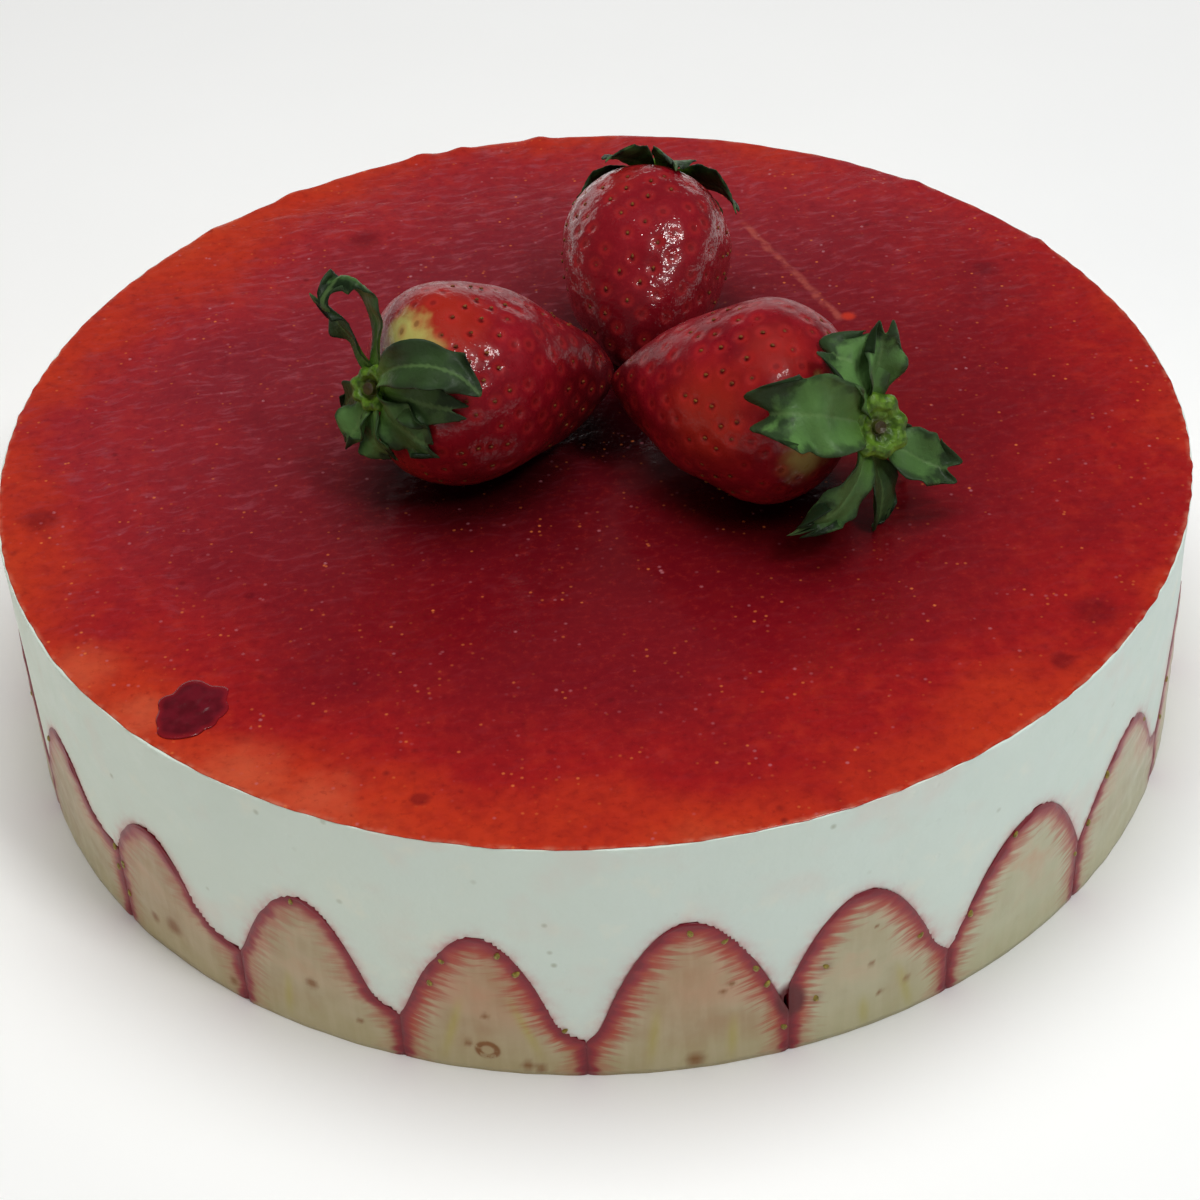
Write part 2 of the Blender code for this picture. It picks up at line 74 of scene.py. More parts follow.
# For each half seen from the front: how fast it widens to its left and right, in mm for the square root of
# the mm below its tip, and the height in mm up to which it touches its neighbour there
SEEN_OUTLINES = {
    "berry_half_01": ((3.2, 12.0), (3.2, 18.0)),
    "berry_half_02": ((3.4, 18.0), (3.3, 13.0)),
    "berry_half_03": ((3.2, 13.0), (2.75, 11.0)),
    "berry_half_04": ((3.0, 11.0), (2.9, 8.7)),
    "berry_half_05": ((3.1, 8.7), (3.4, 10.0)),
    "berry_half_06": ((3.2, 10.0), (3.4, 10.8)),
    "berry_half_07": ((4.1, 10.8), (3.3, 12.4)),
    "berry_half_08": ((4.4, 12.4), (3.4, 12.0)),
    "berry_half_09": ((3.2, 12.0), (3.2, 12.0)),
}
OTHER_OUTLINE = ((3.2, 12.0), (3.2, 12.0))
HALF_SIDE_GAP = 0.25 * MM
POCKET_SNUG = 0.7 * MM
BLEED_WIDTH = 1.0 * MM
# Juice gathers in one gap between two halves, given by its angle in degrees, height and size
JUICE_PLACE = (14.9, 12.6 * MM)
JUICE_SIZE = (3.4 * MM, 4.8 * MM)
JUICE_SHARPNESS = 2.6
JUICE_COLOUR = (92, 8, 16)
NO_PLACE = (0.0, 0.0, 0.0)
UPWARD = (0.0, 0.0, 1.0)


def srgb(red, green, blue):
    """Colour given as it looks on a screen, from 0 to 255, as the linear colour a shader takes."""
    shares = [c / 255 for c in (red, green, blue)]
    return (*[s / 12.92 if s <= 0.04045 else ((s + 0.055) / 1.055) ** 2.4 for s in shares], 1.0)


def put(kind, inputs, **settings):
    """Add a shader node with these settings to the tree its inputs come from; link or set each input."""
    tree = next(value.id_data for value in inputs.values() if isinstance(value, bpy.types.NodeSocket))
    node = tree.nodes.new(kind)
    for key, value in settings.items():
        setattr(node, key, value)
    for key, value in inputs.items():
        if isinstance(value, bpy.types.NodeSocket):
            tree.links.new(value, node.inputs[key])
        else:
            node.inputs[key].default_value = value
    return node


def maths(operation, first, second=0.0, clamp=False):
    return put("ShaderNodeMath", {0: first, 1: second}, operation=operation, use_clamp=clamp).outputs[0]


def times(first, second):
    return maths("MULTIPLY", first, second)


def plus(first, second, clamp=False):
    return maths("ADD", first, second, clamp)


def minus(first, second, clamp=False):
    return maths("SUBTRACT", first, second, clamp)


def ease(value, low, high, start=0.0, end=1.0):
    """Smooth step from start to end as the value goes from low to high."""
    inputs = {"Value": value, "From Min": low, "From Max": high, "To Min": start, "To Max": end}
    return put("ShaderNodeMapRange", inputs, interpolation_type="SMOOTHSTEP").outputs[0]


def tint(share, first, second):
    """Colour between the first and the second, at a share from 0 to 1."""
    return put("ShaderNodeMix", {0: share, 6: first, 7: second}, data_type="RGBA").outputs[2]


def stained(colour, *layers):
    """The colour under layers, each a mask, a shade as it looks on a screen, and a share unless it is all."""
    for mask, shade, *share in layers:
        colour = tint(times(mask, *share) if share else mask, colour, srgb(*shade))
    return colour


def flat_place(x, y):
    return put("ShaderNodeCombineXYZ", {0: x, 1: y}).outputs[0]


def vector_maths(operation, first, second=NO_PLACE):
    return put("ShaderNodeVectorMath", {0: first, 1: second}, operation=operation).outputs


def noise(vector, size, detail=3.0, roughness=0.5):
    """Cloudy values round 0.5 whose blotches are about size across, in the vector's own units."""
    inputs = {"Vector": vector, "Scale": 1 / size, "Detail": detail, "Roughness": roughness}
    return put("ShaderNodeTexNoise", inputs).outputs[0]


def place_in_mm(tree):
    """Object coordinates in millimetres."""
    place = tree.nodes.new("ShaderNodeTexCoord").outputs["Object"]
    return put("ShaderNodeVectorMath", {0: place, "Scale": 1000.0}, operation="SCALE").outputs[0]


def attribute(tree, name):
    node = tree.nodes.new("ShaderNodeAttribute")
    node.attribute_name = name
    return node.outputs["Fac"]


def new_material(name, roughness=0.5, **shader_values):
    """A named material, with its node tree and the place in millimetres that its patterns read."""
    material = bpy.data.materials.new(name)
    material.use_nodes = True
    inputs = material.node_tree.nodes["Principled BSDF"].inputs
    inputs["Roughness"].default_value = roughness
    for key, value in shader_values.items():
        inputs[key.replace("_", " ").title().replace("Ior", "IOR")].default_value = value
    return material, material.node_tree, place_in_mm(material.node_tree)


def bumped(*layers):
    """Normal from bump layers, each a height value with its depth in millimetres."""
    normal = None
    for height, depth in layers:
        inputs = {"Height": height, "Distance": depth * MM, "Strength": 1.0}
        if normal:
            inputs["Normal"] = normal
        normal = put("ShaderNodeBump", inputs).outputs[0]
    return normal


def link_look(material, **values):
    """Link the values to the inputs of the material's Principled shader that have their names."""
    inputs = material.node_tree.nodes["Principled BSDF"].inputs
    for key, value in values.items():
        material.node_tree.links.new(value, inputs[key.replace("_", " ").title()])
    return material


def new_group(name, inputs):
    """A shader node group with one Mask output; returns it, its input sockets and its output node."""
    group = bpy.data.node_groups.new(name, "ShaderNodeTree")
    for label, value in inputs.items():
        kind = "NodeSocketVector" if isinstance(value, tuple) else "NodeSocketFloat"
        group.interface.new_socket(label, in_out="INPUT", socket_type=kind).default_value = value
    group.interface.new_socket("Mask", in_out="OUTPUT", socket_type="NodeSocketFloat")
    return group, group.nodes.new("NodeGroupInput").outputs, group.nodes.new("NodeGroupOutput")


def masked(group, vector, **values):
    """Mask of a shader node group that reads this vector, placed with these input values."""
    inputs = {"Vector": vector, **{key.capitalize(): value for key, value in values.items()}}
    return put("ShaderNodeGroup", inputs, node_tree=group).outputs["Mask"]


def make_speck_group():
    """Dots of random strength, Spacing apart and Size in radius. Amount is the share of places with one."""
    sockets = {"Vector": NO_PLACE, "Spacing": 1.0, "Size": 0.2, "Amount": 0.5}
    group, given, result = new_group("specks", sockets)
    count = maths("DIVIDE", 1.0, given["Spacing"])
    dots = put("ShaderNodeTexVoronoi", {"Vector": given["Vector"], "Scale": count})
    chance = put("ShaderNodeSeparateColor", {0: dots.outputs["Color"]}).outputs
    present = maths("LESS_THAN", chance[0], given["Amount"])
    chosen = times(present, ease(chance[1], 0.0, 1.0, 0.25))
    away = times(dots.outputs["Distance"], given["Spacing"])
    near = minus(1.5, maths("DIVIDE", away, given["Size"]), clamp=True)
    group.links.new(times(chosen, near), result.inputs["Mask"])
    return group


def make_spot_group():
    """One round patch at Centre, full inside Radius, gone past Fade, its edge moved in and out by Uneven."""
    sockets = {"Vector": NO_PLACE, "Centre": NO_PLACE, "Radius": 1.0, "Fade": 2.0, "Uneven": 0.5}
    group, given, result = new_group("patch", sockets)
    away = vector_maths("DISTANCE", given["Vector"], given["Centre"])["Value"]
    shift = times(minus(noise(given["Vector"], 3.0), 0.5), given["Uneven"])
    moved = plus(away, shift)
    group.links.new(ease(moved, given["Radius"], given["Fade"], 1.0, 0.0), result.inputs["Mask"])
    return group


def make_mottle_group():
    """Cloudy blotches of about Size: the mask goes from 0 to 1 within Sharpness of the middle value."""
    sockets = {"Vector": NO_PLACE, "Size": 5.0, "Middle": 0.5, "Sharpness": 0.15}
    group, given, result = new_group("mottle", sockets)
    scaled = vector_maths("DIVIDE", given["Vector"], given["Size"])["Vector"]
    low, high = [sum_of(given["Middle"], given["Sharpness"]) for sum_of in (minus, plus)]
    group.links.new(ease(noise(scaled, 1.0, 4.0), low, high), result.inputs["Mask"])
    return group


specks = make_speck_group()
patch = make_spot_group()
mottle = make_mottle_group()


def full_turn(columns):
    """A row of angles that go once round, with the last left out."""
    return np.arange(columns)[None, :] / columns * 2 * math.pi


def grid_faces(rows, columns):
    """Quads between the points of a grid, counted row by row, with the last column joined to the first."""
    corners = np.arange(rows * columns).reshape(rows, columns)
    corners = np.concatenate([corners, corners[:, :1]], axis=1)
    quads = [corners[:-1, :-1], corners[:-1, 1:], corners[1:, 1:], corners[1:, :-1]]
    return np.stack(quads, axis=-1).reshape(-1, 4)


def new_piece(name, points, material, faces=None, **attributes):
    """A closed smooth mesh of a grid's points, or of points and quads, with its seams and poles welded.

    Each attribute is one number a point, for the material to read.
    """
    mesh = bpy.data.meshes.new(name)
    mesh.from_pydata(points.reshape(-1, 3), [], grid_faces(*points.shape[:2]) if faces is None else faces)
    for key, values in attributes.items():
        numbers = np.broadcast_to(values, points.shape[:-1]).astype(np.float32).ravel()
        mesh.attributes.new(key, "FLOAT", "POINT").data.foreach_set("value", numbers)
    shape = bmesh.new()
    shape.from_mesh(mesh)
    bmesh.ops.remove_doubles(shape, verts=shape.verts, dist=WELD_DISTANCE)
    bmesh.ops.recalc_face_normals(shape, faces=shape.faces)
    shape.to_mesh(mesh)
    shape.free()
    mesh.shade_smooth()
    mesh.materials.append(material)
    piece = bpy.data.objects.new(name, mesh)
    bpy.context.scene.collection.objects.link(piece)
    return piece


def unit(vectors):
    """The same directions, each with a length of one."""
    return vectors / np.linalg.norm(vectors, axis=-1, keepdims=True)


def waves(points, length, seed, kinds=12):
    """Unevenness with a spread of about 1: a sum of cosines in random directions, about a length long."""
    rng = np.random.default_rng(seed)
    total = np.zeros(points.shape[:-1])
    for _ in range(kinds):
        direction = unit(rng.normal(size=points.shape[-1]))
        reach = length * rng.uniform(0.7, 1.4)
        total += np.cos(points @ direction * 2 * math.pi / reach + rng.uniform(0, 2 * math.pi))
    return total / math.sqrt(kinds / 2)


def round_the_cake(angle, radius, height):
    """Points at an angle from the front, a radius from the axis and a height."""
    return np.stack(np.broadcast_arrays(radius * np.sin(angle), -radius * np.cos(angle), height), axis=-1)


def read_corners(node):
    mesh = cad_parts[node].data
    corners = np.empty(len(mesh.vertices) * 3)
    mesh.vertices.foreach_get("co", corners)
    return corners.reshape(-1, 3)


def turn_between(angle, start):
    """Angle from start, brought between minus and plus half a turn."""
    return (angle - start + math.pi) % (2 * math.pi) - math.pi


def side_curve(height, reach, spread, meet):
    """Heights from the foot to the tip and a half's width to one side there.

    It is the spread times the square root of the distance below the tip, flaring out to the reach where the
    neighbours meet.
    """
    heights = height * (1 - np.linspace(1, 0, OUTLINE_STEPS) ** 2)
    widths = spread * np.sqrt((height - heights) / MM) * MM
    missing = max(reach - spread * math.sqrt((height - meet) / MM) * MM, 0)
    widths = widths + missing * np.exp(-np.maximum(heights - meet, 0) / FLARE_FALL)
    return dict(reach=reach, heights=heights, widths=widths)


def read_half(node):
    """A half berry's tip angle and height from its solid, and the curves of its two sides."""
    corners = read_corners(node)
    tip = corners[np.argmax(corners[:, 2])]
    turn = math.atan2(tip[0], -tip[1])
    along = turn_between(np.arctan2(corners[:, 0], -corners[:, 1]), turn) * CAKE_RADIUS
    outlines = SEEN_OUTLINES.get(node, OTHER_OUTLINE)
    sides = [side_curve(tip[2], HALF_SIDE_GAP + reach, spread, meet * MM)
             for reach, (spread, meet) in zip((-along.min(), along.max()), outlines)]
    return dict(turn=turn, height=tip[2], left=sides[0], right=sides[1])


halves = {node: read_half(node) for node in sorted(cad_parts) if node.startswith("berry_half_")}


def side_width(side, height):
    return np.interp(height, side["heights"], side["widths"])


def half_margin(half, along, height):
    """How far inside a half's outline a place on the wall lies, negative outside.

    It is the distance to the slope through the outline's points level with and above the place.
    """
    margin = None
    for side in (half["left"], half["right"]):
        level = np.where(height < half["height"], side_width(side, height), -1.0) - np.abs(along)
        above = np.interp(np.abs(along), side["widths"][::-1], side["heights"][::-1], right=-1.0) - height
        slant = np.abs(level * above) / np.maximum(np.hypot(level, above), 1e-9)
        slant = np.where((level > 0) & (above > 0), slant, -slant)
        margin = slant if margin is None else np.where(along > 0, slant, margin)
    return margin


def pocket_depth(half, along, height):
    """Depth of the half-elliptical pocket behind a half, a little smaller all round than the half itself."""
    right, left = side_width(half["right"], height), side_width(half["left"], height)
    width = np.where(along > 0, right, left) - POCKET_SNUG
    depth = HALF_DEPTH * np.sqrt(np.clip(1 - height / half["height"], 0, 1)) - POCKET_SNUG
    inside = np.clip(1 - (along / np.maximum(width, 1e-6)) ** 2, 0, 1)
    return np.where((width > 0) & (depth > 0), depth * np.sqrt(inside), 0.0)


def juice_near(angle, height):
    """How near a place on the wall is to the pool of juice: one inside it, falling to zero round it."""
    aside = turn_between(angle, math.radians(JUICE_PLACE[0])) * CAKE_RADIUS / JUICE_SIZE[0]
    away = np.hypot(aside, (height - JUICE_PLACE[1]) / JUICE_SIZE[1])
    return np.clip(JUICE_SHARPNESS * (1 - away), 0, 1)


def cream_surface():
    """Turned profile with a pocket for each half; returns its points, and how near halves and juice lie."""
    angle = full_turn(CREAM_COLUMNS)
    lip = JELLY_TOP - LIP_BELOW_JELLY
    floor = JELLY_TOP - JELLY_DEPTH
    foot = [(0.0, 0.0), (CAKE_RADIUS - FOOT_ROUNDING, 0.0)]
    wall = [(CAKE_RADIUS, z) for z in np.linspace(FOOT_ROUNDING, lip - LIP_ROUNDING, CREAM_ROWS)]
    top = [(CAKE_RADIUS - 0.3 * LIP_ROUNDING, lip - 0.3 * LIP_ROUNDING), (CAKE_RADIUS - LIP_ROUNDING, lip),
           (CAKE_RADIUS - LIP_THICKNESS, lip)]
    dish = [(CAKE_RADIUS - LIP_THICKNESS - LIP_ROUNDING, CREAM_TOP), (CAKE_RADIUS - JELLY_SLOPE_WIDTH, floor),
            (0.0, floor)]
    profile = np.array(foot + wall + top + dish)
    radius, height = profile[:, :1], profile[:, 1:]
    depth = np.zeros((len(profile), CREAM_COLUMNS))
    margin = np.full(depth.shape, -1.0)
    for half in halves.values():
        along = turn_between(angle, half["turn"]) * CAKE_RADIUS
        depth = np.maximum(depth, pocket_depth(half, along, height))
        margin = np.maximum(margin, half_margin(half, along, height))
    at_wall = radius > CAKE_RADIUS - 2 * FOOT_ROUNDING
    points = round_the_cake(angle, radius, height)
    uneven = CREAM_WAVES * waves(points, CREAM_WAVE_LENGTH, 1) * (radius == CAKE_RADIUS) * (depth == 0)
    points = round_the_cake(angle, radius - (depth - uneven) * at_wall, height)
    return points, np.exp(np.minimum(margin, 0) / BLEED_WIDTH), juice_near(angle, height)


def make_cream_material():
    """Off-white with faint yellow and pink clouds, red where juice has bled, a few green specks and pits."""
    material, tree, place = new_material("cream", 0.5, specular_ior_level=0.35)
    uneven = ease(noise(place, 2.2), 0.25, 0.75, 0.25, 1.0)
    pits = masked(specks, place, spacing=4.5, size=0.45, amount=0.4)
    colour = stained(
        tint(noise(place, 30.0), srgb(217, 228, 216), srgb(213, 226, 219)),
        (ease(noise(place, 7.0), 0.55, 0.8, 0.0, 0.35), (236, 232, 214)),
        (ease(noise(place, 16.0), 0.52, 0.75, 0.0, 0.3), (224, 200, 190)),
        (times(attribute(tree, "bleed"), uneven), (196, 108, 112), 0.8),
        (attribute(tree, "juice"), JUICE_COLOUR),
        (masked(specks, place, spacing=6.0, size=0.5, amount=0.3), (132, 136, 100), 0.5))
    bumps = (noise(place, 5.0), 0.35), (noise(place, 1.2), 0.06), (minus(1.0, pits), 0.12)
    return link_look(material, base_color=colour, roughness=ease(noise(place, 6.0), 0.3, 0.7, 0.42, 0.58),
                     normal=bumped(*bumps))


cream_points, cream_bleed, cream_juice = cream_surface()
cream = new_piece("cream", cream_points, make_cream_material(), bleed=cream_bleed, juice=cream_juice)
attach(cream, "root")
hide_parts("cream_body")


# Halved berries
# Strawberries cut lengthways and stood round the foot, stem end down and cut face outwards. Each is pale
# flesh with a crimson skin at its rim, orange-red streaks running in from it and a few seeds on the edge.
FACE_COLUMNS = 72
FACE_ROWS = 60
BACK_COLUMNS = 15
FACE_PROUD = 0.30 * MM
FACE_EDGE_PROUD = 0.05 * MM
FACE_ROUNDING = 0.5 * MM
FACE_WAVES = 0.05 * MM
HALF_EDGE_SINK = 0.4 * MM
OUTLINE_WAVES = 0.105 * MM
FACE_WAVE_LENGTH = 6 * MM
OUTLINE_WAVE_LENGTH = 5 * MM
BACK_ARC = (0.04, 0.96)
SEED_SIZE = (0.85 * MM, 0.60 * MM, 0.42 * MM)
SEED_SEGMENTS = 8
SEED_RINGS = 5
RIM_SEED_SINK = 0.05 * MM
RIM_SEEDS_EACH = 3
RIM_SEED_INSET = 1.1 * MM
RIM_SEED_HEIGHTS = (0.2, 0.92)
RIM_SEED_TILT = 0.9
RIM_SEED_SHARES = (0.75, 1.1)
SEED_TAPER = 0.35
# Seeds, yellow veins and brown spots measured on the front halves, as (along the wall, height) in mm
FACE_SEEDS = {
    "berry_half_03": ((-1.4, 32.2),),
    "berry_half_04": ((-6.0, 26.6), (-8.5, 20.8), (3.9, 29.6), (6.9, 25.4), (14.6, 11.5)),
    "berry_half_05": ((0.3, 34.0), (6.2, 31.0), (11.5, 22.9), (13.6, 18.4), (16.6, 6.4)),
    "berry_half_06": ((-8.6, 11.6), (-6.9, 19.0), (11.8, 18.0)),
}
FACE_VEINS = {
    "berry_half_03": (((-4.3, 13.0), (-5.4, 2.0)),),
    "berry_half_04": (((-3.4, 17.5), (-7.1, 2.5)), ((5.4, 19.0), (10.4, 4.0))),
    "berry_half_05": (((-5.6, 16.0), (-7.1, 3.0)), ((7.6, 12.0), (7.2, 1.0))),
    "berry_half_06": (((7.3, 13.0), (10.4, 0.5)), ((0.4, 8.0), (0.9, 0.5))),
}
FACE_TONES = (0.45, 0.2, 0.35, 0.2, 0.3, 0.7, 0.95, 0.85, 0.5)
FACE_SPOTS = {
    "berry_half_02": ((3.8, 8.5, 1.7), (-1.9, 7.0, 1.1), (18.4, 3.6, 0.9)),
    "berry_half_03": ((0.5, 12.6, 1.1), (9.5, 6.5, 0.6)),
    "berry_half_04": ((0.8, 14.1, 0.6), (-2.6, 6.7, 0.7), (7.8, 2.2, 1.0), (10.0, 1.6, 0.9)),
    "berry_half_05": ((5.8, 18.6, 0.6), (7.3, 20.3, 0.6), (0.8, 2.2, 1.5)),
    "berry_half_06": ((2.0, 15.8, 0.6), (9.2, 8.3, 0.6), (3.7, 7.8, 0.6), (2.7, 24.8, 0.4)),
}
FACE_FLUSHES = {"berry_half_04": (2.5, 20.5, 6.0), "berry_half_05": (1.0, 22.0, 6.0)}
# A brown ring at the core of one half, as its node, place on it and radius
CORE_RING = ("berry_half_04", (0.8, 5.4), 1.7)
# How strongly each seen half is streaked with red from its rim
FACE_STREAKS = (0.7, 0.5, 0.55, 1.0, 1.0, 0.95, 0.85, 0.5, 0.7)
VEIN_WIDTH = 0.85
SEED_RING_RADIUS = 1.2
HALF_RANDOM = np.random.default_rng(5)


def near_line(across, up, line):
    """1 on a line between two places and 0 a few widths away, in millimetres."""
    start, end = np.array(line[0]), np.array(line[1])
    run = end - start
    share = np.clip(((across - start[0]) * run[0] + (up - start[1]) * run[1]) / (run @ run), 0, 1)
    away = np.hypot(across - start[0] - share * run[0], up - start[1] - share * run[1])
    return np.exp(-(away / VEIN_WIDTH) ** 2) * np.sin(math.pi * (0.08 + 0.84 * share))


def most(masks, across):
    """The strongest of the masks at each place, or none where there is no mask."""
    return np.max([0 * across, *masks], axis=0)


def face_values(node, half, seeds, along, height, inward):
    """What the material reads on a half's face: veins, spots, rings round seeds, a flush, juice and tones.

    Tone and redness were judged on the halves that are seen, and vary with the number of the others.
    """
    across, up = along / MM, height / MM + 0 * along
    marks = [near_line(across, up, line) for line in FACE_VEINS.get(node, ())]
    dots = [np.clip(1.5 - np.hypot(across - x, up - z) / size, 0, 1)
            for x, z, size in FACE_SPOTS.get(node, ())]
    rings = [np.exp(-(np.hypot(across - x, up - z) / SEED_RING_RADIUS) ** 2) for x, z in seeds]
    x, z, size = FACE_FLUSHES.get(node, (0.0, 0.0, 1.0))
    flush = np.exp(-(((across - x) / size) ** 2 + ((up - z) / (1.5 * size)) ** 2)) * (node in FACE_FLUSHES)
    number = int(node[-2:]) - 1
    tone = FACE_TONES[number] if number < len(FACE_TONES) else 0.5 + 0.5 * math.sin(number * 2.4)
    red = FACE_STREAKS[number] if number < len(FACE_STREAKS) else 0.8 + 0.2 * math.sin(number * 1.7)
    juice = juice_near(along / CAKE_RADIUS + half["turn"], height)
    return dict(inward=inward / MM, along=across, up=up, veins=most(marks, across), spots=most(dots, across),
                rings=most(rings, across), flush=flush, tone=tone + 0 * across, red=red + 0 * across,
                juice=juice)


def half_surface(node, half, seeds):
    """Levels of a half from foot to tip, each a loop along the flat face and back round a half ellipse.

    The ellipse's depth shrinks with the square root of the share of height left.
    """
    u = np.linspace(0, 1, FACE_ROWS)[:, None]
    height = half["height"] * (1 - (1 - u) ** 2)
    wide = np.concatenate([side_width(half["left"], height), side_width(half["right"], height)], axis=1)
    left = np.minimum(wide[:, :1], half["left"]["reach"])
    right = np.minimum(wide[:, 1:], half["right"]["reach"])
    run = np.sin(np.linspace(-1, 1, FACE_COLUMNS) * math.pi / 2)[None, :]
    along = np.where(run > 0, right * run, left * run)
    flat = round_the_cake(along / CAKE_RADIUS + half["turn"], CAKE_RADIUS, height)
    edge = np.minimum(right - along, left + along)
    inward = np.minimum(half_margin(half, along, height), edge)
    inward = np.clip(inward + OUTLINE_WAVES * waves(flat, OUTLINE_WAVE_LENGTH, 11), 0, 1)
    proud = FACE_EDGE_PROUD + FACE_PROUD * (1 - np.exp(-inward / FACE_ROUNDING))
    proud = proud + FACE_WAVES * waves(flat, FACE_WAVE_LENGTH, 12) * (inward > FACE_ROUNDING)
    face = round_the_cake(along / CAKE_RADIUS + half["turn"], CAKE_RADIUS + proud, height)
    around = np.linspace(*BACK_ARC, BACK_COLUMNS)[None, :] * math.pi
    back_width = np.where(np.cos(around) > 0, wide[:, 1:], wide[:, :1])
    back_along = np.clip(back_width * np.cos(around), -left, right)
    back_depth = np.maximum(HALF_DEPTH * (1 - u) * np.sin(around), HALF_EDGE_SINK)
    back = round_the_cake(back_along / CAKE_RADIUS + half["turn"], CAKE_RADIUS - back_depth, height)
    points = np.concatenate([face, back], axis=1)
    points[-1] = points[-1].mean(axis=0)
    foot = np.broadcast_to(points[:1].mean(axis=1, keepdims=True), points[:1].shape)
    blank = np.zeros((FACE_ROWS, BACK_COLUMNS))
    values = {key: np.concatenate([value, blank], axis=1)
              for key, value in face_values(node, half, seeds, along, height, inward).items()}
    values = {key: np.concatenate([value[:1], value]) for key, value in values.items()}
    return np.concatenate([foot, points]), values


def random_rim_seeds(half, rng):
    """A few places along a half's outline, just inside its rim, as (along, height) in millimetres."""
    places = []
    for _ in range(RIM_SEEDS_EACH):
        height = half["height"] * rng.uniform(*RIM_SEED_HEIGHTS)
        sign = rng.choice((-1, 1))
        side = half["right"] if sign > 0 else half["left"]
        across = min(side_width(side, height), side["reach"]) - RIM_SEED_INSET
        places.append((sign * max(across, 0) / MM, height / MM))
    return places


def seed_template():
    """Points and quads of a small teardrop: an ellipsoid of unit size, narrower towards its +X end."""
    lengthways = np.linspace(0, math.pi, SEED_RINGS)[:, None]
    around = full_turn(SEED_SEGMENTS)
    width = np.sin(lengthways) * (1 - SEED_TAPER * np.cos(lengthways))
    axes = np.broadcast_arrays(np.cos(lengthways), width * np.cos(around), width * np.sin(around))
    return np.stack(axes, axis=-1).reshape(-1, 3), grid_faces(SEED_RINGS, SEED_SEGMENTS)


def scatter_seeds(places, along, across, outward, sizes):
    """One teardrop at each place, turned to its three directions; returns all points and quads."""
    shape, faces = seed_template()
    shape = shape * np.array(SEED_SIZE)
    scaled = shape[None] * sizes[:, None, None]
    axes = np.stack([along, across, outward], axis=1)
    points = places[:, None] + np.einsum("nvk,nkc->nvc", scaled, axes)
    return points, (faces[None] + np.arange(len(places))[:, None, None] * len(shape)).reshape(-1, 4)


def streaks_mask(inward, up, fibres):
    """Streaks from the rim, as long as the fibres' noise says and fewer towards the foot."""
    length = ease(fibres, 0.32, 0.68, 4.0, 8.0)
    streaks = ease(maths("DIVIDE", inward, length), 0.25, 1.0, 1.0, 0.0)
    return times(times(streaks, ease(fibres, 0.3, 0.6, 0.7, 0.95)), ease(up, 0.0, 9.0, 0.4, 1.0))


def core_ring_mask(place):
    """A broken ring round the core of one half."""
    node, (across, height), radius = CORE_RING
    turn = halves[node]["turn"] + across * MM / CAKE_RADIUS
    centre = round_the_cake(turn, CAKE_RADIUS + FACE_PROUD, height * MM)
    away = vector_maths("DISTANCE", place, tuple(centre / MM))["Value"]
    away = maths("ABSOLUTE", minus(away, radius))
    broken = ease(noise(place, 1.5), 0.35, 0.5, 0.3, 0.95)
    return times(ease(away, 0.25, 0.9, 1.0, 0.0), broken)


def make_half_material():
    """Pale flesh, darker seeds' rings and spots, red streaks from the rim and a crimson edge.

    The streaks' noise is drawn out towards the middle of the face.
    """
    material, tree, place = new_material("cut_berry", 0.32, specular_ior_level=0.4)
    inward, up, along = [attribute(tree, name) for name in ("inward", "up", "along")]
    pale = plus(attribute(tree, "tone"), ease(noise(place, 9.0), 0.3, 0.7, -0.25, 0.25), clamp=True)
    rays = flat_place(along, times(up, 0.12))
    clouds = masked(mottle, place, size=9.0, middle=0.56, sharpness=0.14)
    drawn_out = flat_place(times(along, 0.1), plus(up, times(inward, 0.35)))
    edge = plus(inward, ease(noise(drawn_out, 1.4), 0.25, 0.75, -0.7, 0.4))
    spots = maths("MAXIMUM", times(attribute(tree, "spots"), 0.9), core_ring_mask(place))
    colour = stained(
        tint(pale, srgb(165, 137, 102), srgb(182, 182, 150)),
        (ease(up, 12.0, 0.0, 0.0, 0.45), (184, 178, 132)),
        (ease(noise(rays, 2.4, 2.0), 0.42, 0.66, 0.0, 0.14), (206, 196, 166)),
        (times(clouds, ease(up, 8.0, 22.0, 0.1, 0.45)), (196, 124, 96)),
        (attribute(tree, "flush"), (182, 116, 80), 0.3),
        (attribute(tree, "veins"), (170, 156, 66), 0.6),
        (times(streaks_mask(inward, up, noise(drawn_out, 0.9, 3.0)), attribute(tree, "red")), (166, 46, 24)),
        (ease(edge, 0.9, 2.6, 1.0, 0.0), (144, 28, 38)),
        (ease(edge, 0.1, 1.2, 0.7, 0.0), (108, 14, 34)),
        (attribute(tree, "juice"), JUICE_COLOUR),
        (spots, (126, 74, 10)),
        (attribute(tree, "rings"), (120, 26, 30), 0.5))
    return link_look(material, base_color=colour, roughness=ease(noise(place, 3.0), 0.3, 0.7, 0.28, 0.4),
                     normal=bumped((noise(place, 2.5), 0.06), (noise(place, 0.6, 2.0), 0.02)))


def make_seed_material(name, light, dark):
    """Clouded between a light and a dark colour."""
    material, _, place = new_material(name, 0.45, specular_ior_level=0.3)
    colour = tint(ease(noise(place, 0.6), 0.35, 0.65), srgb(*light), srgb(*dark))
    return link_look(material, base_color=colour, normal=bumped((noise(place, 0.25), 0.05)))


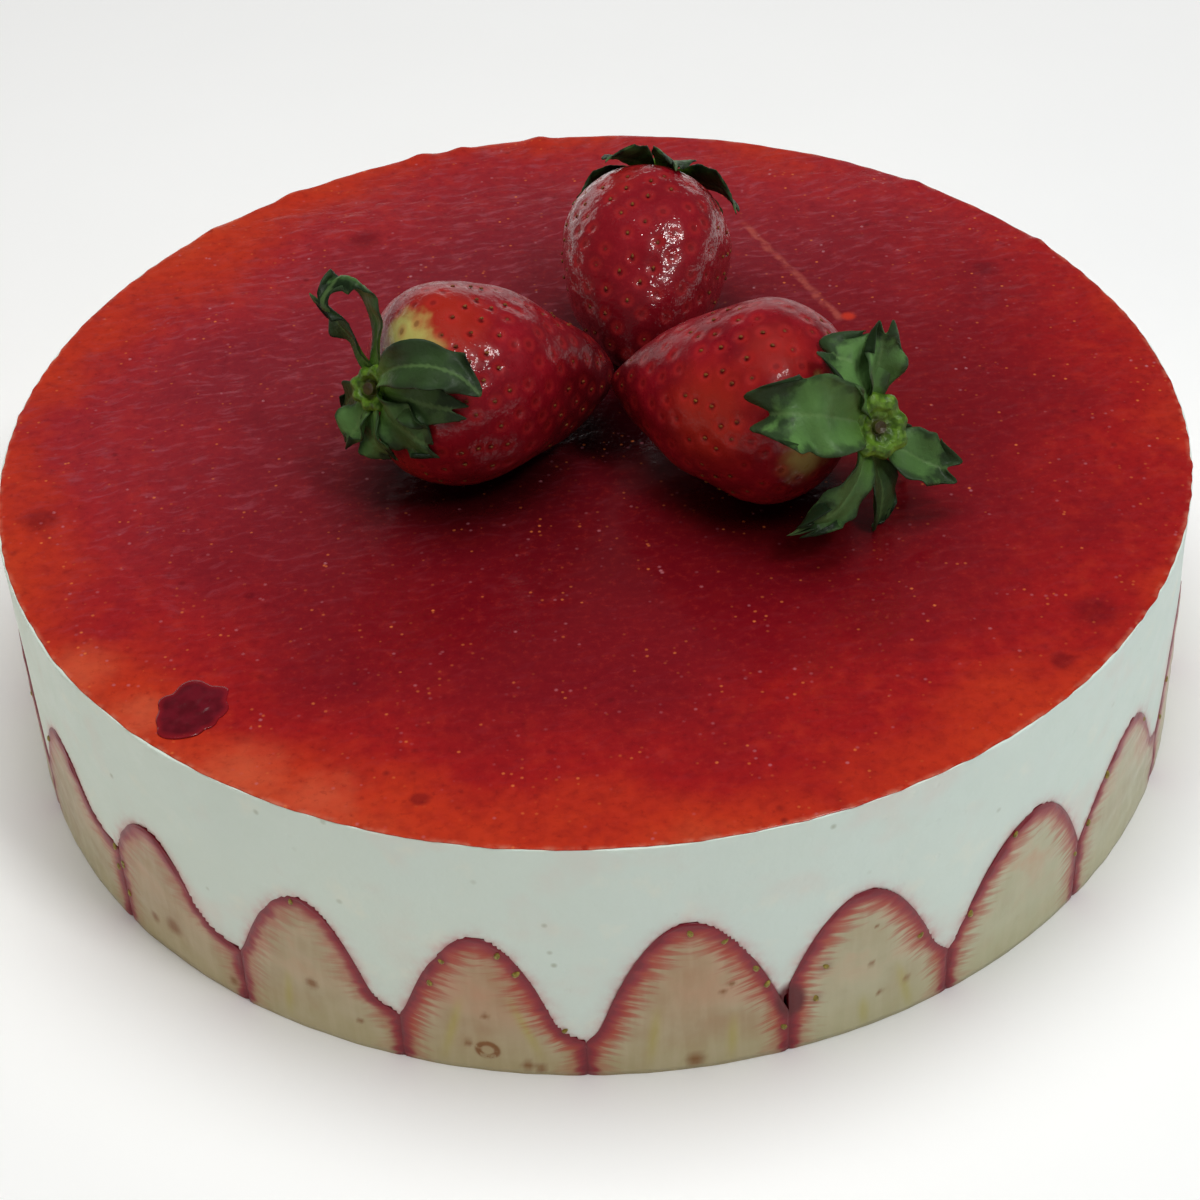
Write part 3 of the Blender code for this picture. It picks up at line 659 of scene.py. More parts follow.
half_material = make_half_material()
rim_places, rim_turns = [], []
for node, half in halves.items():
    seeds = list(FACE_SEEDS.get(node) or random_rim_seeds(half, HALF_RANDOM))
    half_points, half_values = half_surface(node, half, seeds)
    piece = new_piece(node.replace("berry_half", "cut_half"), half_points, half_material, **half_values)
    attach(piece, "root")
    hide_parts(node)
    for across, up in seeds:
        turn = half["turn"] + across * MM / CAKE_RADIUS
        rim_places.append(round_the_cake(turn, CAKE_RADIUS + FACE_PROUD - RIM_SEED_SINK, up * MM))
        rim_turns.append(turn)
rim_turns = np.array(rim_turns)
rim_outward = round_the_cake(rim_turns, 1.0, 0.0)
rim_sideways = np.stack([np.cos(rim_turns), np.sin(rim_turns), 0 * rim_turns], axis=-1)
rim_tilt = HALF_RANDOM.uniform(-RIM_SEED_TILT, RIM_SEED_TILT, len(rim_turns))[:, None]
rim_up = np.cos(rim_tilt) * np.array(UPWARD) + np.sin(rim_tilt) * rim_sideways
rim_sizes = HALF_RANDOM.uniform(*RIM_SEED_SHARES, len(rim_turns))
seed_points, seed_faces = scatter_seeds(np.array(rim_places), rim_up, np.cross(rim_outward, rim_up),
                                        rim_outward, rim_sizes)
rim_seed_material = make_seed_material("rim_seed", (160, 140, 60), (116, 100, 40))
rim_seeds = new_piece("rim_seeds", seed_points, rim_seed_material, seed_faces)
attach(rim_seeds, "root")


# Jelly top
# Strawberry jelly poured warm over the cream to its very edge: thin and orange-red at the rim, deeper and
# darker in the middle, faintly rippled where it was spread, with fine seeds and bits of fruit in it.
JELLY_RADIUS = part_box("jelly_top")[1].x
JELLY_COLUMNS = 640
JELLY_RINGS = 138
JELLY_GAP = 0.05 * MM
JELLY_INSET = 0.20 * MM
JELLY_EDGE_ROUND = 0.35 * MM
JELLY_RIM_WAVES = 0.14 * MM
JELLY_RIM_CALM = 6 * MM
RIPPLE_DEPTH = 0.015 * MM
RIPPLE_LENGTH = 3.5 * MM
SWELL_DEPTH = 0.10 * MM
SWELL_LENGTH = 26 * MM
MENISCUS_HEIGHT = 0.9 * MM
MENISCUS_WIDTH = 1.6 * MM
# Painted shade on the jelly round the whole berries: how wide it fades, and its shift towards the front
SHADE_WIDTH = 12 * MM
SHADE_SHIFT = (-1.0 * MM, 4.5 * MM, 0.0)
CONTACT_HEIGHT = 1.2 * MM
CONTACT_ROWS = 80
CONTACT_COLUMNS = 119
# Lumps left on the back rim by the ring, as (x, y, height, radius) in mm
RIM_LUMPS = ((-36.0, 109.0, 0.9, 2.6), (-27.0, 111.5, 0.7, 2.0), (-9.0, 114.0, 0.8, 2.4),
             (-64.0, 95.0, 0.7, 3.0), (-81.0, 81.0, 0.6, 3.0), (74.0, 87.5, 0.6, 2.4), (97.0, 61.0, 0.6, 2.0))
# Whole berries, by the places in mm of the calyx end and of the tip; radius and the two powers shape the body
BERRIES = {
    "left": dict(calyx=(-37.7, -15.6, 78.5), tip=(4.4, 5.1, 65.2), radius=19.1, shoulder=0.54, fullness=0.61),
    "right": dict(calyx=(47.0, -26.5, 75.6), tip=(4.0, -5.1, 70.5), radius=18.6, shoulder=0.62, fullness=0.73),
    "back": dict(calyx=(15.5, 51.0, 78.6), tip=(7.5, 9.5, 63.6), radius=17.2, shoulder=0.70, fullness=0.62),
}
# Dark bits of fruit in the jelly and pale patches near its rim, as (x, y, radius) in mm
DARK_BITS = ((-105.1, -20.1, 4.2), (-47.2, 74.4, 4.0), (84.1, 51.7, 3.2), (87.5, -61.0, 5.0),
             (79.5, -74.0, 2.6), (-63.5, -45.6, 1.2), (-31.3, -101.4, 1.8), (24.0, 22.0, 4.0))
PALE_PATCHES = ((-79.5, -76.5, 6.0), (-61.0, -92.0, 8.5), (-48.0, -100.0, 8.0), (-92.0, -64.0, 7.5))
# Where the jelly runs thinner than round about, or with a minus deeper: (x, y, reach) in mm and the change
UNEVEN_DEPTHS = ((-53.0, -98.0, 30.0, 0.07), (-112.0, 8.0, 32.0, -0.06), (-74.0, 78.0, 46.0, 0.11),
                 (68.0, -92.0, 28.0, 0.07), (-47.0, -74.0, 22.0, -0.08))
# A pale streak in the jelly from beside the back berry to a small orange blob
STREAK_START = (34.1, 76.6)
STREAK_END = (52.5, 34.3)
ORANGE_BLOB = (53.7, 36.1, 2.2)


def berry_frame(berry):
    """Calyx end, unit axis from tip to calyx, upward and sideways unit vectors across it, and length."""
    calyx, tip = np.array(berry["calyx"]) * MM, np.array(berry["tip"]) * MM
    axis = unit(calyx - tip)
    up = unit(np.array(UPWARD) - axis[2] * axis)
    return calyx, axis, up, np.cross(axis, up), np.linalg.norm(calyx - tip)


def body_radius(berry, share):
    """Radius at a share of the length from the calyx: radius * sin(pi * share^shoulder)^fullness."""
    bulge = np.sin(math.pi * np.clip(share, 0, 1) ** berry["shoulder"])
    return berry["radius"] * MM * np.clip(bulge, 0, 1) ** berry["fullness"]


def body_points(berry, share, around):
    """Points of a berry's smooth body, at shares of its length and angles about it, and their outward way."""
    calyx, axis, up, side, length = berry_frame(berry)
    share, around = np.broadcast_arrays(share, around)
    out = up * np.cos(around)[..., None] + side * np.sin(around)[..., None]
    return calyx - axis * (length * share)[..., None] + out * body_radius(berry, share)[..., None], out


def away_from_berries(points):
    """Distance from each point to the nearest place where a whole berry's skin rests on the jelly."""
    nearest = np.full(points.shape[:-1], 1.0)
    for berry in BERRIES.values():
        skin, _ = body_points(berry, np.linspace(0, 1, CONTACT_ROWS)[:, None], full_turn(CONTACT_COLUMNS))
        for place in skin[skin[..., 2] < JELLY_TOP + CONTACT_HEIGHT]:
            nearest = np.minimum(nearest, np.linalg.norm(points - place, axis=-1))
    return nearest


def jelly_surface():
    """Rippled disc, thin and uneven at its edge, rising where it wets the berries, over the cream's dish."""
    angle = full_turn(JELLY_COLUMNS)
    edge = JELLY_RADIUS - JELLY_INSET
    flat_rings = np.linspace(0, edge - JELLY_EDGE_ROUND, JELLY_RINGS)[:, None]
    turn = np.linspace(0.12, 0.5, 5)[:, None] * math.pi
    edge_rings = edge - JELLY_EDGE_ROUND * (1 - np.sin(turn))
    fall = np.concatenate([0 * flat_rings, (1 - np.cos(turn)) * (LIP_BELOW_JELLY - JELLY_GAP)])
    radius = np.concatenate([flat_rings, edge_rings])
    rim_way = round_the_cake(angle, JELLY_RADIUS, 0.0)
    rim = JELLY_RIM_WAVES * (waves(rim_way, 4 * MM, 21) + waves(rim_way, 17 * MM, 24)) / 2
    radius = radius + rim * (radius / JELLY_RADIUS) ** 30
    points = round_the_cake(angle, radius, JELLY_TOP)
    x, y = points[..., 0], points[..., 1]
    combed = np.stack([x / 3, y - 0.2 * x], axis=-1)
    ripples = RIPPLE_DEPTH * waves(combed, RIPPLE_LENGTH, 22, 60)
    relief = ripples + SWELL_DEPTH * waves(points, SWELL_LENGTH, 23)
    relief = relief * np.clip((JELLY_RADIUS - radius) / JELLY_RIM_CALM, 0, 1)
    away = away_from_berries(points)
    shaded = np.minimum(away, away_from_berries(points + np.array(SHADE_SHIFT)))
    rise = MENISCUS_HEIGHT * np.exp(-away / MENISCUS_WIDTH)
    for lump_x, lump_y, height, size in RIM_LUMPS:
        rise = rise + height * MM * np.exp(-((x / MM - lump_x) ** 2 + (y / MM - lump_y) ** 2) / size ** 2)
    points[..., 2] += relief + rise - fall
    floor = [(CAKE_RADIUS - LIP_THICKNESS - JELLY_GAP, JELLY_TOP - LIP_BELOW_JELLY),
             (CAKE_RADIUS - LIP_THICKNESS - LIP_ROUNDING - JELLY_GAP, CREAM_TOP),
             (CAKE_RADIUS - JELLY_SLOPE_WIDTH, JELLY_TOP - JELLY_DEPTH), (0.0, JELLY_TOP - JELLY_DEPTH)]
    under = np.array([(r, z + JELLY_GAP) for r, z in floor])
    below = round_the_cake(angle, under[:, :1], under[:, 1:])
    # The top carries the painted shade round the berries, the underside none
    painted_shade_values = np.concatenate([np.exp(-shaded / SHADE_WIDTH), np.zeros(below.shape[:2])])
    return np.concatenate([points, below]), painted_shade_values


def streak_mask(flat):
    """A thin wandering line from the streak's start to its end, broken in places and gone at both ends."""
    start, end = np.array(STREAK_START), np.array(STREAK_END)
    run = np.linalg.norm(end - start)
    heading = unit(end - start)
    offset = vector_maths("SUBTRACT", flat, (*start, 0.0))["Vector"]
    ahead, aside = [vector_maths("DOT_PRODUCT", offset, (*way, 0.0))["Value"]
                    for way in (heading, (-heading[1], heading[0]))]
    bends = times(minus(noise(flat, 5.0), 0.5), 3.0)
    thin = ease(maths("ABSOLUTE", plus(aside, bends)), 0.2, 1.3, 0.8, 0.0)
    within = times(ease(ahead, 0.0, 6.0), ease(ahead, run - 2.0, run, 1.0, 0.0))
    return times(times(thin, within), ease(noise(flat, 2.5), 0.35, 0.6, 0.2, 0.75))


def rim_closeness(flat, x, y):
    """Share of the way from the middle to the rim, shifted where the jelly runs deeper or thinner, and lowered
    towards the right and back as painted shade.
    """
    out = maths("DIVIDE", vector_maths("LENGTH", flat)["Value"], JELLY_RADIUS / MM)
    drift = times(minus(noise(flat, 30.0, 4.0), 0.5), 0.42)
    # The x and y terms make the jelly darker towards the right and the back: painted shade
    deep = minus(plus(out, drift), ease(x, 20.0, 100.0, 0.0, 0.09))
    deep = minus(deep, ease(y, 0.0, 100.0, 0.0, 0.06))
    for px, py, reach, change in UNEVEN_DEPTHS:
        spot = masked(patch, flat, centre=(px, py, 0.0), radius=0.0, fade=reach, uneven=8.0)
        deep = plus(deep, times(spot, change))
    return out, deep


def marked_jelly(colour, flat):
    """The colour with the pale patches, the dark bits, the streak and its orange blob."""
    for x, y, size in PALE_PATCHES:
        spot = masked(patch, flat, centre=(x, y, 0.0), radius=0.0, fade=size * 1.3, uneven=7.0)
        colour = stained(colour, (spot, (206, 96, 64), 0.42))
    for x, y, size in DARK_BITS:
        spot = masked(patch, flat, centre=(x, y, 0.0), radius=size * 0.3, fade=size * 1.2, uneven=2.5)
        colour = stained(colour, (spot, (92, 4, 18), 0.55))
    x, y, size = ORANGE_BLOB
    blob = masked(patch, flat, centre=(x, y, 0.0), radius=0.6, fade=size, uneven=1.5)
    return stained(colour, (streak_mask(flat), (176, 84, 72)), (blob, (196, 52, 32), 0.8))


def make_jelly_material():
    """Clear red, orange where it is thin, with a painted sheen, painted shade by the berries, dark bits, a
    streak, grain and specks.
    """
    material, tree, place = new_material("red_jelly", 0.16, specular_ior_level=0.45)
    x, y, _ = put("ShaderNodeSeparateXYZ", {0: place}).outputs
    flat = flat_place(x, y)
    out, deep = rim_closeness(flat, x, y)
    fringe = times(ease(out, 0.988, 1.0), ease(noise(flat, 3.0), 0.4, 0.65))
    warm = masked(mottle, flat, size=5.0, middle=0.6, sharpness=0.12)
    wander = times(minus(noise(flat, 14.0), 0.5), 9.0)
    combed = flat_place(maths("DIVIDE", x, 3.4), plus(minus(y, times(x, 0.2)), wander))
    ripples = noise(combed, 1.7, 4.0, 0.6)
    # Painted sheen: a greyish-pink reflection painted towards the back left, fading at the rim, and stronger
    # along the ripples
    backward = minus(times(y, 0.9), times(x, 0.55))
    painted_sheen = ease(plus(backward, times(wander, 3.0)), -40.0, 60.0, 0.12, 1.0)
    painted_sheen = times(painted_sheen, ease(deep, 1.02, 0.8))
    colour = stained(
        tint(ease(deep, 0.15, 0.7), srgb(88, 6, 14), srgb(118, 10, 20)),
        (ease(deep, 0.6, 0.88), (152, 20, 20)),
        (ease(deep, 0.84, 1.0), (182, 48, 24)),
        (ease(deep, 0.97, 1.10, 0.0, 0.6), (188, 74, 42)),
        (fringe, (206, 130, 104), 0.6),
        (masked(mottle, flat, size=2.6, middle=0.56, sharpness=0.2), (100, 4, 16), 0.3),
        (times(warm, ease(deep, 0.6, 0.95, 0.05, 0.4)), (184, 46, 26)),
        (painted_sheen, (150, 60, 74), 0.22),
        (times(ease(ripples, 0.5, 0.72), painted_sheen), (154, 68, 80), 0.5))
    grain = noise(flat, 1.6, 4.0, 0.7)
    # Painted shade near the berries, nearly black, deepest in the pool where their tips meet
    junction_shade = masked(patch, flat, centre=(3.0, 2.0, 0.0), radius=7.0, fade=18.0, uneven=2.0)
    near = maths("MAXIMUM", attribute(tree, "berry_near"), times(junction_shade, 0.95))
    crowd = ease(noise(flat, 9.0), 0.42, 0.62, 0.1, 1.0)
    pale = times(masked(specks, flat, spacing=2.2, size=0.3, amount=0.4), crowd)
    colour = stained(
        marked_jelly(colour, flat),
        (ease(grain, 0.5, 0.85, 0.0, 0.3), (190, 56, 44)),
        (ease(grain, 0.5, 0.15, 0.0, 0.5), (84, 4, 14)),
        (near, (16, 0, 2), 0.98),
        (times(masked(specks, flat, spacing=1.8, size=0.27, amount=0.34), crowd), (222, 116, 58), 0.75),
        (pale, (196, 118, 128), 0.5),
        (masked(specks, flat, spacing=5.5, size=0.6, amount=0.4), (84, 8, 16), 0.5))
    wet = times(maths("POWER", near, 3.0), noise(flat, 1.6, 2.0))
    bumps = (ripples, 0.07), (noise(flat, 0.7, 2.0), 0.015), (pale, 0.05), (wet, 0.3)
    return link_look(material, base_color=colour, roughness=ease(ripples, 0.3, 0.7, 0.12, 0.24),
                     normal=bumped(*bumps))


jelly_points, jelly_painted_shade = jelly_surface()
jelly = new_piece("jelly", jelly_points, make_jelly_material(), berry_near=jelly_painted_shade)
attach(jelly, "root")
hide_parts("jelly_top")


# Sunk piece of berry
# A dark slice of fruit that sank into the jelly near the front left rim and was glazed over by it.
SUNK_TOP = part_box("sunk_berry_piece")[1].z
SUNK_RINGS = 22
SUNK_COLUMNS = 96
SUNK_OUTER_SHARE = 0.51
SUNK_SMOOTHING = 3
SUNK_DOME = 0.25 * MM
SUNK_PLUMP = 1.04
SUNK_WAVES = 0.35 * MM
SUNK_RELIEF = 0.12 * MM


def sunk_surface():
    """The solid's own outline, smoothed and made uneven, with a low domed top and its side turned under."""
    corners = read_corners("sunk_berry_piece")
    centre = (corners.max(axis=0) + corners.min(axis=0)) / 2
    angles = np.arctan2(corners[:, 1] - centre[1], corners[:, 0] - centre[0])
    reach = np.hypot(corners[:, 0] - centre[0], corners[:, 1] - centre[1])
    outer = reach > SUNK_OUTER_SHARE * reach.max()
    order = np.argsort(angles[outer])
    turn = full_turn(SUNK_COLUMNS)[0] - math.pi
    outline = np.interp(turn, angles[outer][order], reach[outer][order], period=2 * math.pi)
    outline = np.concatenate([outline[-SUNK_SMOOTHING:], outline, outline[:SUNK_SMOOTHING]])
    count = 2 * SUNK_SMOOTHING + 1
    outline = np.convolve(outline, np.ones(count) / count, mode="valid") * SUNK_PLUMP
    rim = np.stack([np.cos(turn), np.sin(turn)], axis=-1)
    outline = outline + SUNK_WAVES * waves(rim * outline.max(), 6 * MM, 31)
    out = np.concatenate([np.linspace(0, 1, SUNK_RINGS), (1.0, 0.9, 0.0)])[:, None]
    drop = np.concatenate([0.5 * np.linspace(0, 1, SUNK_RINGS) ** 10, (1.6, 2.4, 2.4)])[:, None] * SUNK_DOME
    flat = centre[:2] + rim[None] * (outline[None, :] * out)[..., None]
    relief = SUNK_RELIEF * waves(flat, 3 * MM, 32) * (1 - out)
    height = np.broadcast_to(SUNK_TOP + relief * (out < 1) - drop, flat.shape[:2])
    return np.concatenate([flat, height[..., None]], axis=-1), np.broadcast_to(1 - out, flat.shape[:2])


def make_sunk_material():
    """Dark crimson, redder at its edge, with a few golden specks."""
    material, tree, place = new_material("sunk_berry", 0.18, specular_ior_level=0.5)
    colour = stained(
        tint(masked(mottle, place, size=3.0), srgb(82, 8, 20), srgb(100, 14, 28)),
        (ease(attribute(tree, "inward"), 0.0, 0.22, 0.6, 0.0), (140, 22, 30)),
        (masked(specks, place, spacing=1.9, size=0.22, amount=0.3), (214, 130, 90), 0.55))
    return link_look(material, base_color=colour,
                     normal=bumped((noise(place, 2.0), 0.12), (noise(place, 0.6), 0.03)))


sunk_points, sunk_inward = sunk_surface()
sunk = new_piece("sunk_slice", sunk_points, make_sunk_material(), inward=sunk_inward)
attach(sunk, "root")
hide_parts("sunk_berry_piece")


# Whole berries
# Three whole strawberries laid tip to tip in the middle of the jelly. Their skin is glossy and swells between
# the seeds, which each sit in a small pit; two of them are pale or orange where they ripened in the shade.
BERRY_ROWS = 170
BERRY_COLUMNS = 220
SEED_COUNTS = {"left": 250, "right": 230, "back": 200}
PIT_DEPTH = 0.24 * MM
PIT_RADIUS = 1.05 * MM
SWELLING = 0.10 * MM
# Unevenness of the skin, as depth, length and seed
SKIN_WAVES = ((0.30 * MM, 17 * MM, 41), (0.03 * MM, 5 * MM, 42))
SEED_SINK = 0.30 * MM
SEED_JELLY_CLEARANCE = 0.6 * MM
GOLDEN_ANGLE = math.pi * (3 - math.sqrt(5))
SEED_BAND = (0.03, 0.985)
SEED_SHARE_SCATTER = 0.004
SEED_TURN_SCATTER = 0.05
SKIN_FADE_POWER = 0.3
BERRY_SEED_SHARE = 0.52
SKIN_SAMPLES = 400
TANGENT_STEP = 0.001


def lay_seeds(berry, count):
    """Shares and angles of seeds on a golden-angle spiral that gives each seed the same area of skin."""
    fine = np.linspace(*SEED_BAND, SKIN_SAMPLES)
    radius = body_radius(berry, fine)
    strip = np.hypot(np.gradient(radius), np.gradient(fine) * berry_frame(berry)[4]) * radius
    area = np.cumsum(strip) / strip.sum()
    number = np.arange(count)
    rng = np.random.default_rng(count)
    share = np.interp((number + 0.5) / count, area, fine) + rng.normal(0, SEED_SHARE_SCATTER, count)
    return share, number * GOLDEN_ANGLE + rng.normal(0, SEED_TURN_SCATTER, count)


def berry_surface(berry, seed_points):
    """Body with a pit at each seed and the skin swollen between them."""
    share = (1 - np.cos(np.linspace(0, math.pi, BERRY_ROWS)))[:, None] / 2
    smooth, out = body_points(berry, share, full_turn(BERRY_COLUMNS))
    nearest = np.full(smooth.shape[:-1], 1.0)
    for place in seed_points:
        nearest = np.minimum(nearest, np.linalg.norm(smooth - place, axis=-1))
    pit = np.exp(-(nearest / PIT_RADIUS) ** 2)
    relief = SWELLING * (1 - np.exp(-(nearest / (2 * PIT_RADIUS)) ** 2)) - PIT_DEPTH * pit
    relief += sum(depth * waves(smooth, length, seed) for depth, length, seed in SKIN_WAVES)
    fade = np.sin(math.pi * share) ** SKIN_FADE_POWER
    return smooth + out * (relief * fade)[..., None], nearest


def seed_directions(berry, share, around, skin_out):
    """Unit vectors at each seed: along the skin towards the calyx, across it, and straight out of it."""
    before, _ = body_points(berry, share - TANGENT_STEP, around)
    after, _ = body_points(berry, share + TANGENT_STEP, around)
    along = unit(before - after)
    across = unit(np.cross(along, skin_out))
    return along, across, np.cross(across, along)


def make_berry_material(name, deep, orange, pale, shine):
    """Red skin with pale and orange patches, each a place in mm with its full and faded radius and strength.

    Painted shade darkens it to the tips, which meet in the middle. Shine is the share of juice that coats it.
    """
    material, tree, place = new_material(name, 0.3, specular_ior_level=0.2, coat_weight=shine,
                                         coat_roughness=0.03)
    blotches = masked(mottle, place, size=7.0, sharpness=0.25)
    colour = stained(tint(blotches, srgb(*deep), srgb(134, 15, 28)),
                     (ease(noise(place, 0.8, 2.0), 0.5, 0.8, 0.0, 0.3), (166, 38, 42)))
    for patches, shade in ((orange, (156, 36, 22)), (pale, (184, 176, 98))):
        for *centre, full, fade, strength in patches:
            spot = masked(patch, place, centre=centre, radius=full, fade=fade, uneven=5.0)
            colour = stained(colour, (spot, shade, strength))
    # Painted shade round the middle, where the tips lie in the shadow of the other berries
    painted_tip_shade = masked(patch, place, centre=(4.0, 0.0, 64.0), radius=9.0, fade=27.0, uneven=4.0)
    pit = attribute(tree, "seed_away")
    colour = stained(colour, (painted_tip_shade, (74, 4, 12), 0.9), (ease(pit, 1.9, 0.8, 0.0, 0.3), (176, 40, 36)),
                     (ease(pit, 0.4, 0.9, 0.5, 0.0), (90, 6, 14)))
    coarse = noise(place, 1.6, 2.0)
    return link_look(material, base_color=colour, roughness=ease(noise(place, 1.5), 0.3, 0.7, 0.26, 0.42),
                     normal=bumped((coarse, 0.06), (noise(place, 0.5, 2.0), 0.03)),
                     coat_normal=bumped((coarse, 0.16 + 0.26 * shine), (noise(place, 0.6, 2.0), 0.03)))


BERRY_LOOKS = {
    "left": dict(deep=(112, 8, 21), shine=0.45,
                 orange=((-27.0, -15.0, 92.0, 4.0, 13.0, 0.85), (-36.3, -21.0, 66.0, 2.0, 9.0, 0.5)),
                 pale=((-34.0, -15.2, 88.8, 2.8, 7.5, 1.0), (-29.6, -19.2, 89.6, 0.5, 4.5, 0.8))),
    "right": dict(deep=(102, 8, 20), shine=0.2,
                  orange=((21.0, -31.5, 80.0, 3.0, 14.0, 0.8), (33.4, -27.6, 90.0, 2.0, 10.0, 0.5)),
                  pale=((42.3, -30.6, 82.4, 1.5, 5.0, 0.9), (38.7, -36.0, 73.5, 1.5, 7.5, 0.6))),
    "back": dict(deep=(116, 8, 21), shine=1.0, orange=((8.0, 38.0, 88.0, 1.0, 8.0, 0.35),), pale=()),
}
seed_material = make_seed_material("berry_seed", (122, 76, 30), (92, 36, 20))
for place, berry in BERRIES.items():
    seed_share, seed_around = lay_seeds(berry, SEED_COUNTS[place])
    seed_places, seed_out = body_points(berry, seed_share, seed_around)
    body, seed_away = berry_surface(berry, seed_places)
    skin = make_berry_material(f"skin_{place}", **BERRY_LOOKS[place])
    piece = new_piece(f"berry_{place}", body, skin, seed_away=seed_away / MM)
    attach(piece, "root")
    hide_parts(f"whole_berry_{place}")
    seed_along, seed_across, seed_up = seed_directions(berry, seed_share, seed_around, seed_out)
    above = seed_places[:, 2] > JELLY_TOP + SEED_JELLY_CLEARANCE
    sizes = BERRY_SEED_SHARE * np.ones(above.sum())
    points, faces = scatter_seeds((seed_places - seed_up * SEED_SINK)[above], seed_along[above],
                                  seed_across[above], seed_up[above], sizes)
    piece = new_piece(f"seeds_{place}", points, seed_material, faces)
    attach(piece, "root")


# Calyces
# Each whole berry keeps its green calyx: a ring of thin sepals, toothed at their ends and curled in all
# directions, round a bright fleshy hub with the brown stub of the stem in its middle.
# For each hub, in mm: height of the leaves' feet above the berry's end and their distance below its axis, the
# radius, and how far it stands forward of the leaves along its tilt
HUBS = {
    "left": dict(height=2.0, below=0.0, radius=4.3, forward=0.8, tilt=(-0.55, -0.70, 0.48)),
    "right": dict(height=3.0, below=2.2, radius=6.0, forward=4.5, tilt=(0.35, -0.80, 0.48)),
    "back": dict(height=2.0, below=0.0, radius=4.6, forward=0.8, tilt=(0.2, 0.9, 0.4)),
}
HUB_ABOVE_LEAVES = 1.5 * MM
STUB_RADIUS = 1.3 * MM
STUB_LENGTH = 1.2 * MM
HUB_COLUMNS = 64
HUB_ROWS = 72
HUB_FOOT = -6.0 * MM
HUB_LOBE_RISE = 0.3 * MM
LEAF_START = 2.0 * MM
LEAF_THICKNESS = 0.55 * MM
LEAF_EDGE_SHARE = 0.35
LEAF_BERRY_CLEARANCE = 0.9 * MM
LEAF_FLOOR_CLEARANCE = 0.6 * MM
LEAF_ROWS = 44
LEAF_COLUMNS = 25
LEAF_LINE_STEPS = 60
LEAF_FOOT_SHARE = 0.35
LEAF_WIDEST = 0.55
LEAF_NARROWS = 0.6
LEAF_NARROW_POWER = 1.6
LEAF_RUFFLE = 0.7 * MM
LEAF_CRUMPLE = 0.55 * MM
LEAF_CRUMPLE_LENGTH = 8 * MM
LEAF_NOTCH = 0.17
LEAF_SERRATION = 0.09
VEIN_DEPTH = 0.2 * MM
VEIN_SPACING = 3.2
MIDRIB_WIDTH = 0.45 * MM
BERRY_CENTRE_SHARE = 0.4
LEAF_DEFAULTS = dict(late=1.0, sweep=0.0, twist=0.0, cup=0.25, end=0.4, blunt=0.16, teeth=3, crumple=1.0)
# A leaf's turn is its place round the calyx from straight up. Its lift is the angle away from the berry at
# its foot, and its curl the angle by which it then bends, negative back over the berry. Lengths are in mm,
# and its tone goes from dark to light.
LEAVES = {
    "left": (
        dict(tone=0.55, turn=18, length=29, width=8, lift=0, curl=235, late=3.2, twist=-15, cup=0.1,
             blunt=0.04, teeth=1),
        dict(tone=0.05, turn=-34, length=28.5, width=9, lift=30, curl=-130, sweep=-50, end=0.8,
             blunt=0.04, teeth=1),
        dict(tone=0.3, turn=-72, length=21, width=9, lift=10, curl=-100, sweep=-6, end=0.5, teeth=2),
        dict(tone=0.5, turn=-102, length=18.5, width=10, lift=20, curl=-110, sweep=-6, end=0.5, teeth=2,
             crumple=1.4),
        dict(tone=0.8, turn=-145, length=14, width=9, lift=30, curl=-80),
        dict(tone=0.8, turn=-178, length=11.5, width=9, lift=40, curl=-40),
        dict(tone=0.2, turn=124, length=15, width=6, lift=20, curl=-50, sweep=30),
        dict(tone=0.1, turn=42, length=20, width=5, lift=20, curl=30, sweep=-12, teeth=1),
    ),
    "right": (
        dict(tone=0.9, turn=5, length=20.5, width=13, lift=28, curl=-105, sweep=12, end=0.9, teeth=2,
             cup=0.4, crumple=1.4),
        dict(tone=0.95, turn=-13, length=20, width=9, lift=20, curl=-20, twist=-55, end=0.6, teeth=2,
             cup=0.4),
        dict(tone=0.95, turn=50, length=31, width=14, lift=22, curl=-120, sweep=10, end=0.85, teeth=2,
             cup=0.4, crumple=1.6),
        dict(tone=0.1, turn=-136, length=21, width=8, lift=20, curl=-30, teeth=2),
        dict(tone=0.75, turn=-160, length=20, width=10, lift=50, curl=0, sweep=12, twist=20, end=0.85,
             teeth=2),
        dict(tone=0.2, turn=165, length=22, width=9, lift=30, curl=-50, twist=20),
        dict(tone=0.6, turn=112, length=27, width=8.5, lift=30, curl=-95, twist=30, crumple=1.4),
    ),
    "back": (
        dict(tone=0.1, turn=74, length=22, width=9, lift=0, curl=-70, crumple=0.3),
        dict(tone=0.3, turn=22, length=18, width=9, lift=0, curl=-70, crumple=0.3),
        dict(tone=0.3, turn=-28, length=19, width=9, lift=0, curl=-60, crumple=0.3),
        dict(tone=0.1, turn=-78, length=19, width=8, lift=0, curl=-75, crumple=0.3),
        dict(tone=0.4, turn=130, length=18, width=9, lift=0, curl=-60),
        dict(tone=0.4, turn=-140, length=17, width=9, lift=0, curl=-60),
    ),
}


def leaf_half_width(leaf, along):
    """Narrow foot, widest past the middle, then drawn in to the end share of the width."""
    grow = np.clip(along / LEAF_WIDEST, 0, 1)
    rise = LEAF_FOOT_SHARE + (1 - LEAF_FOOT_SHARE) * grow * grow * (3 - 2 * grow)
    fall = np.clip((along - LEAF_NARROWS) / (1 - LEAF_NARROWS), 0, 1) ** LEAF_NARROW_POWER
    return leaf["width"] * MM / 2 * rise * (1 - (1 - leaf["end"]) * fall)


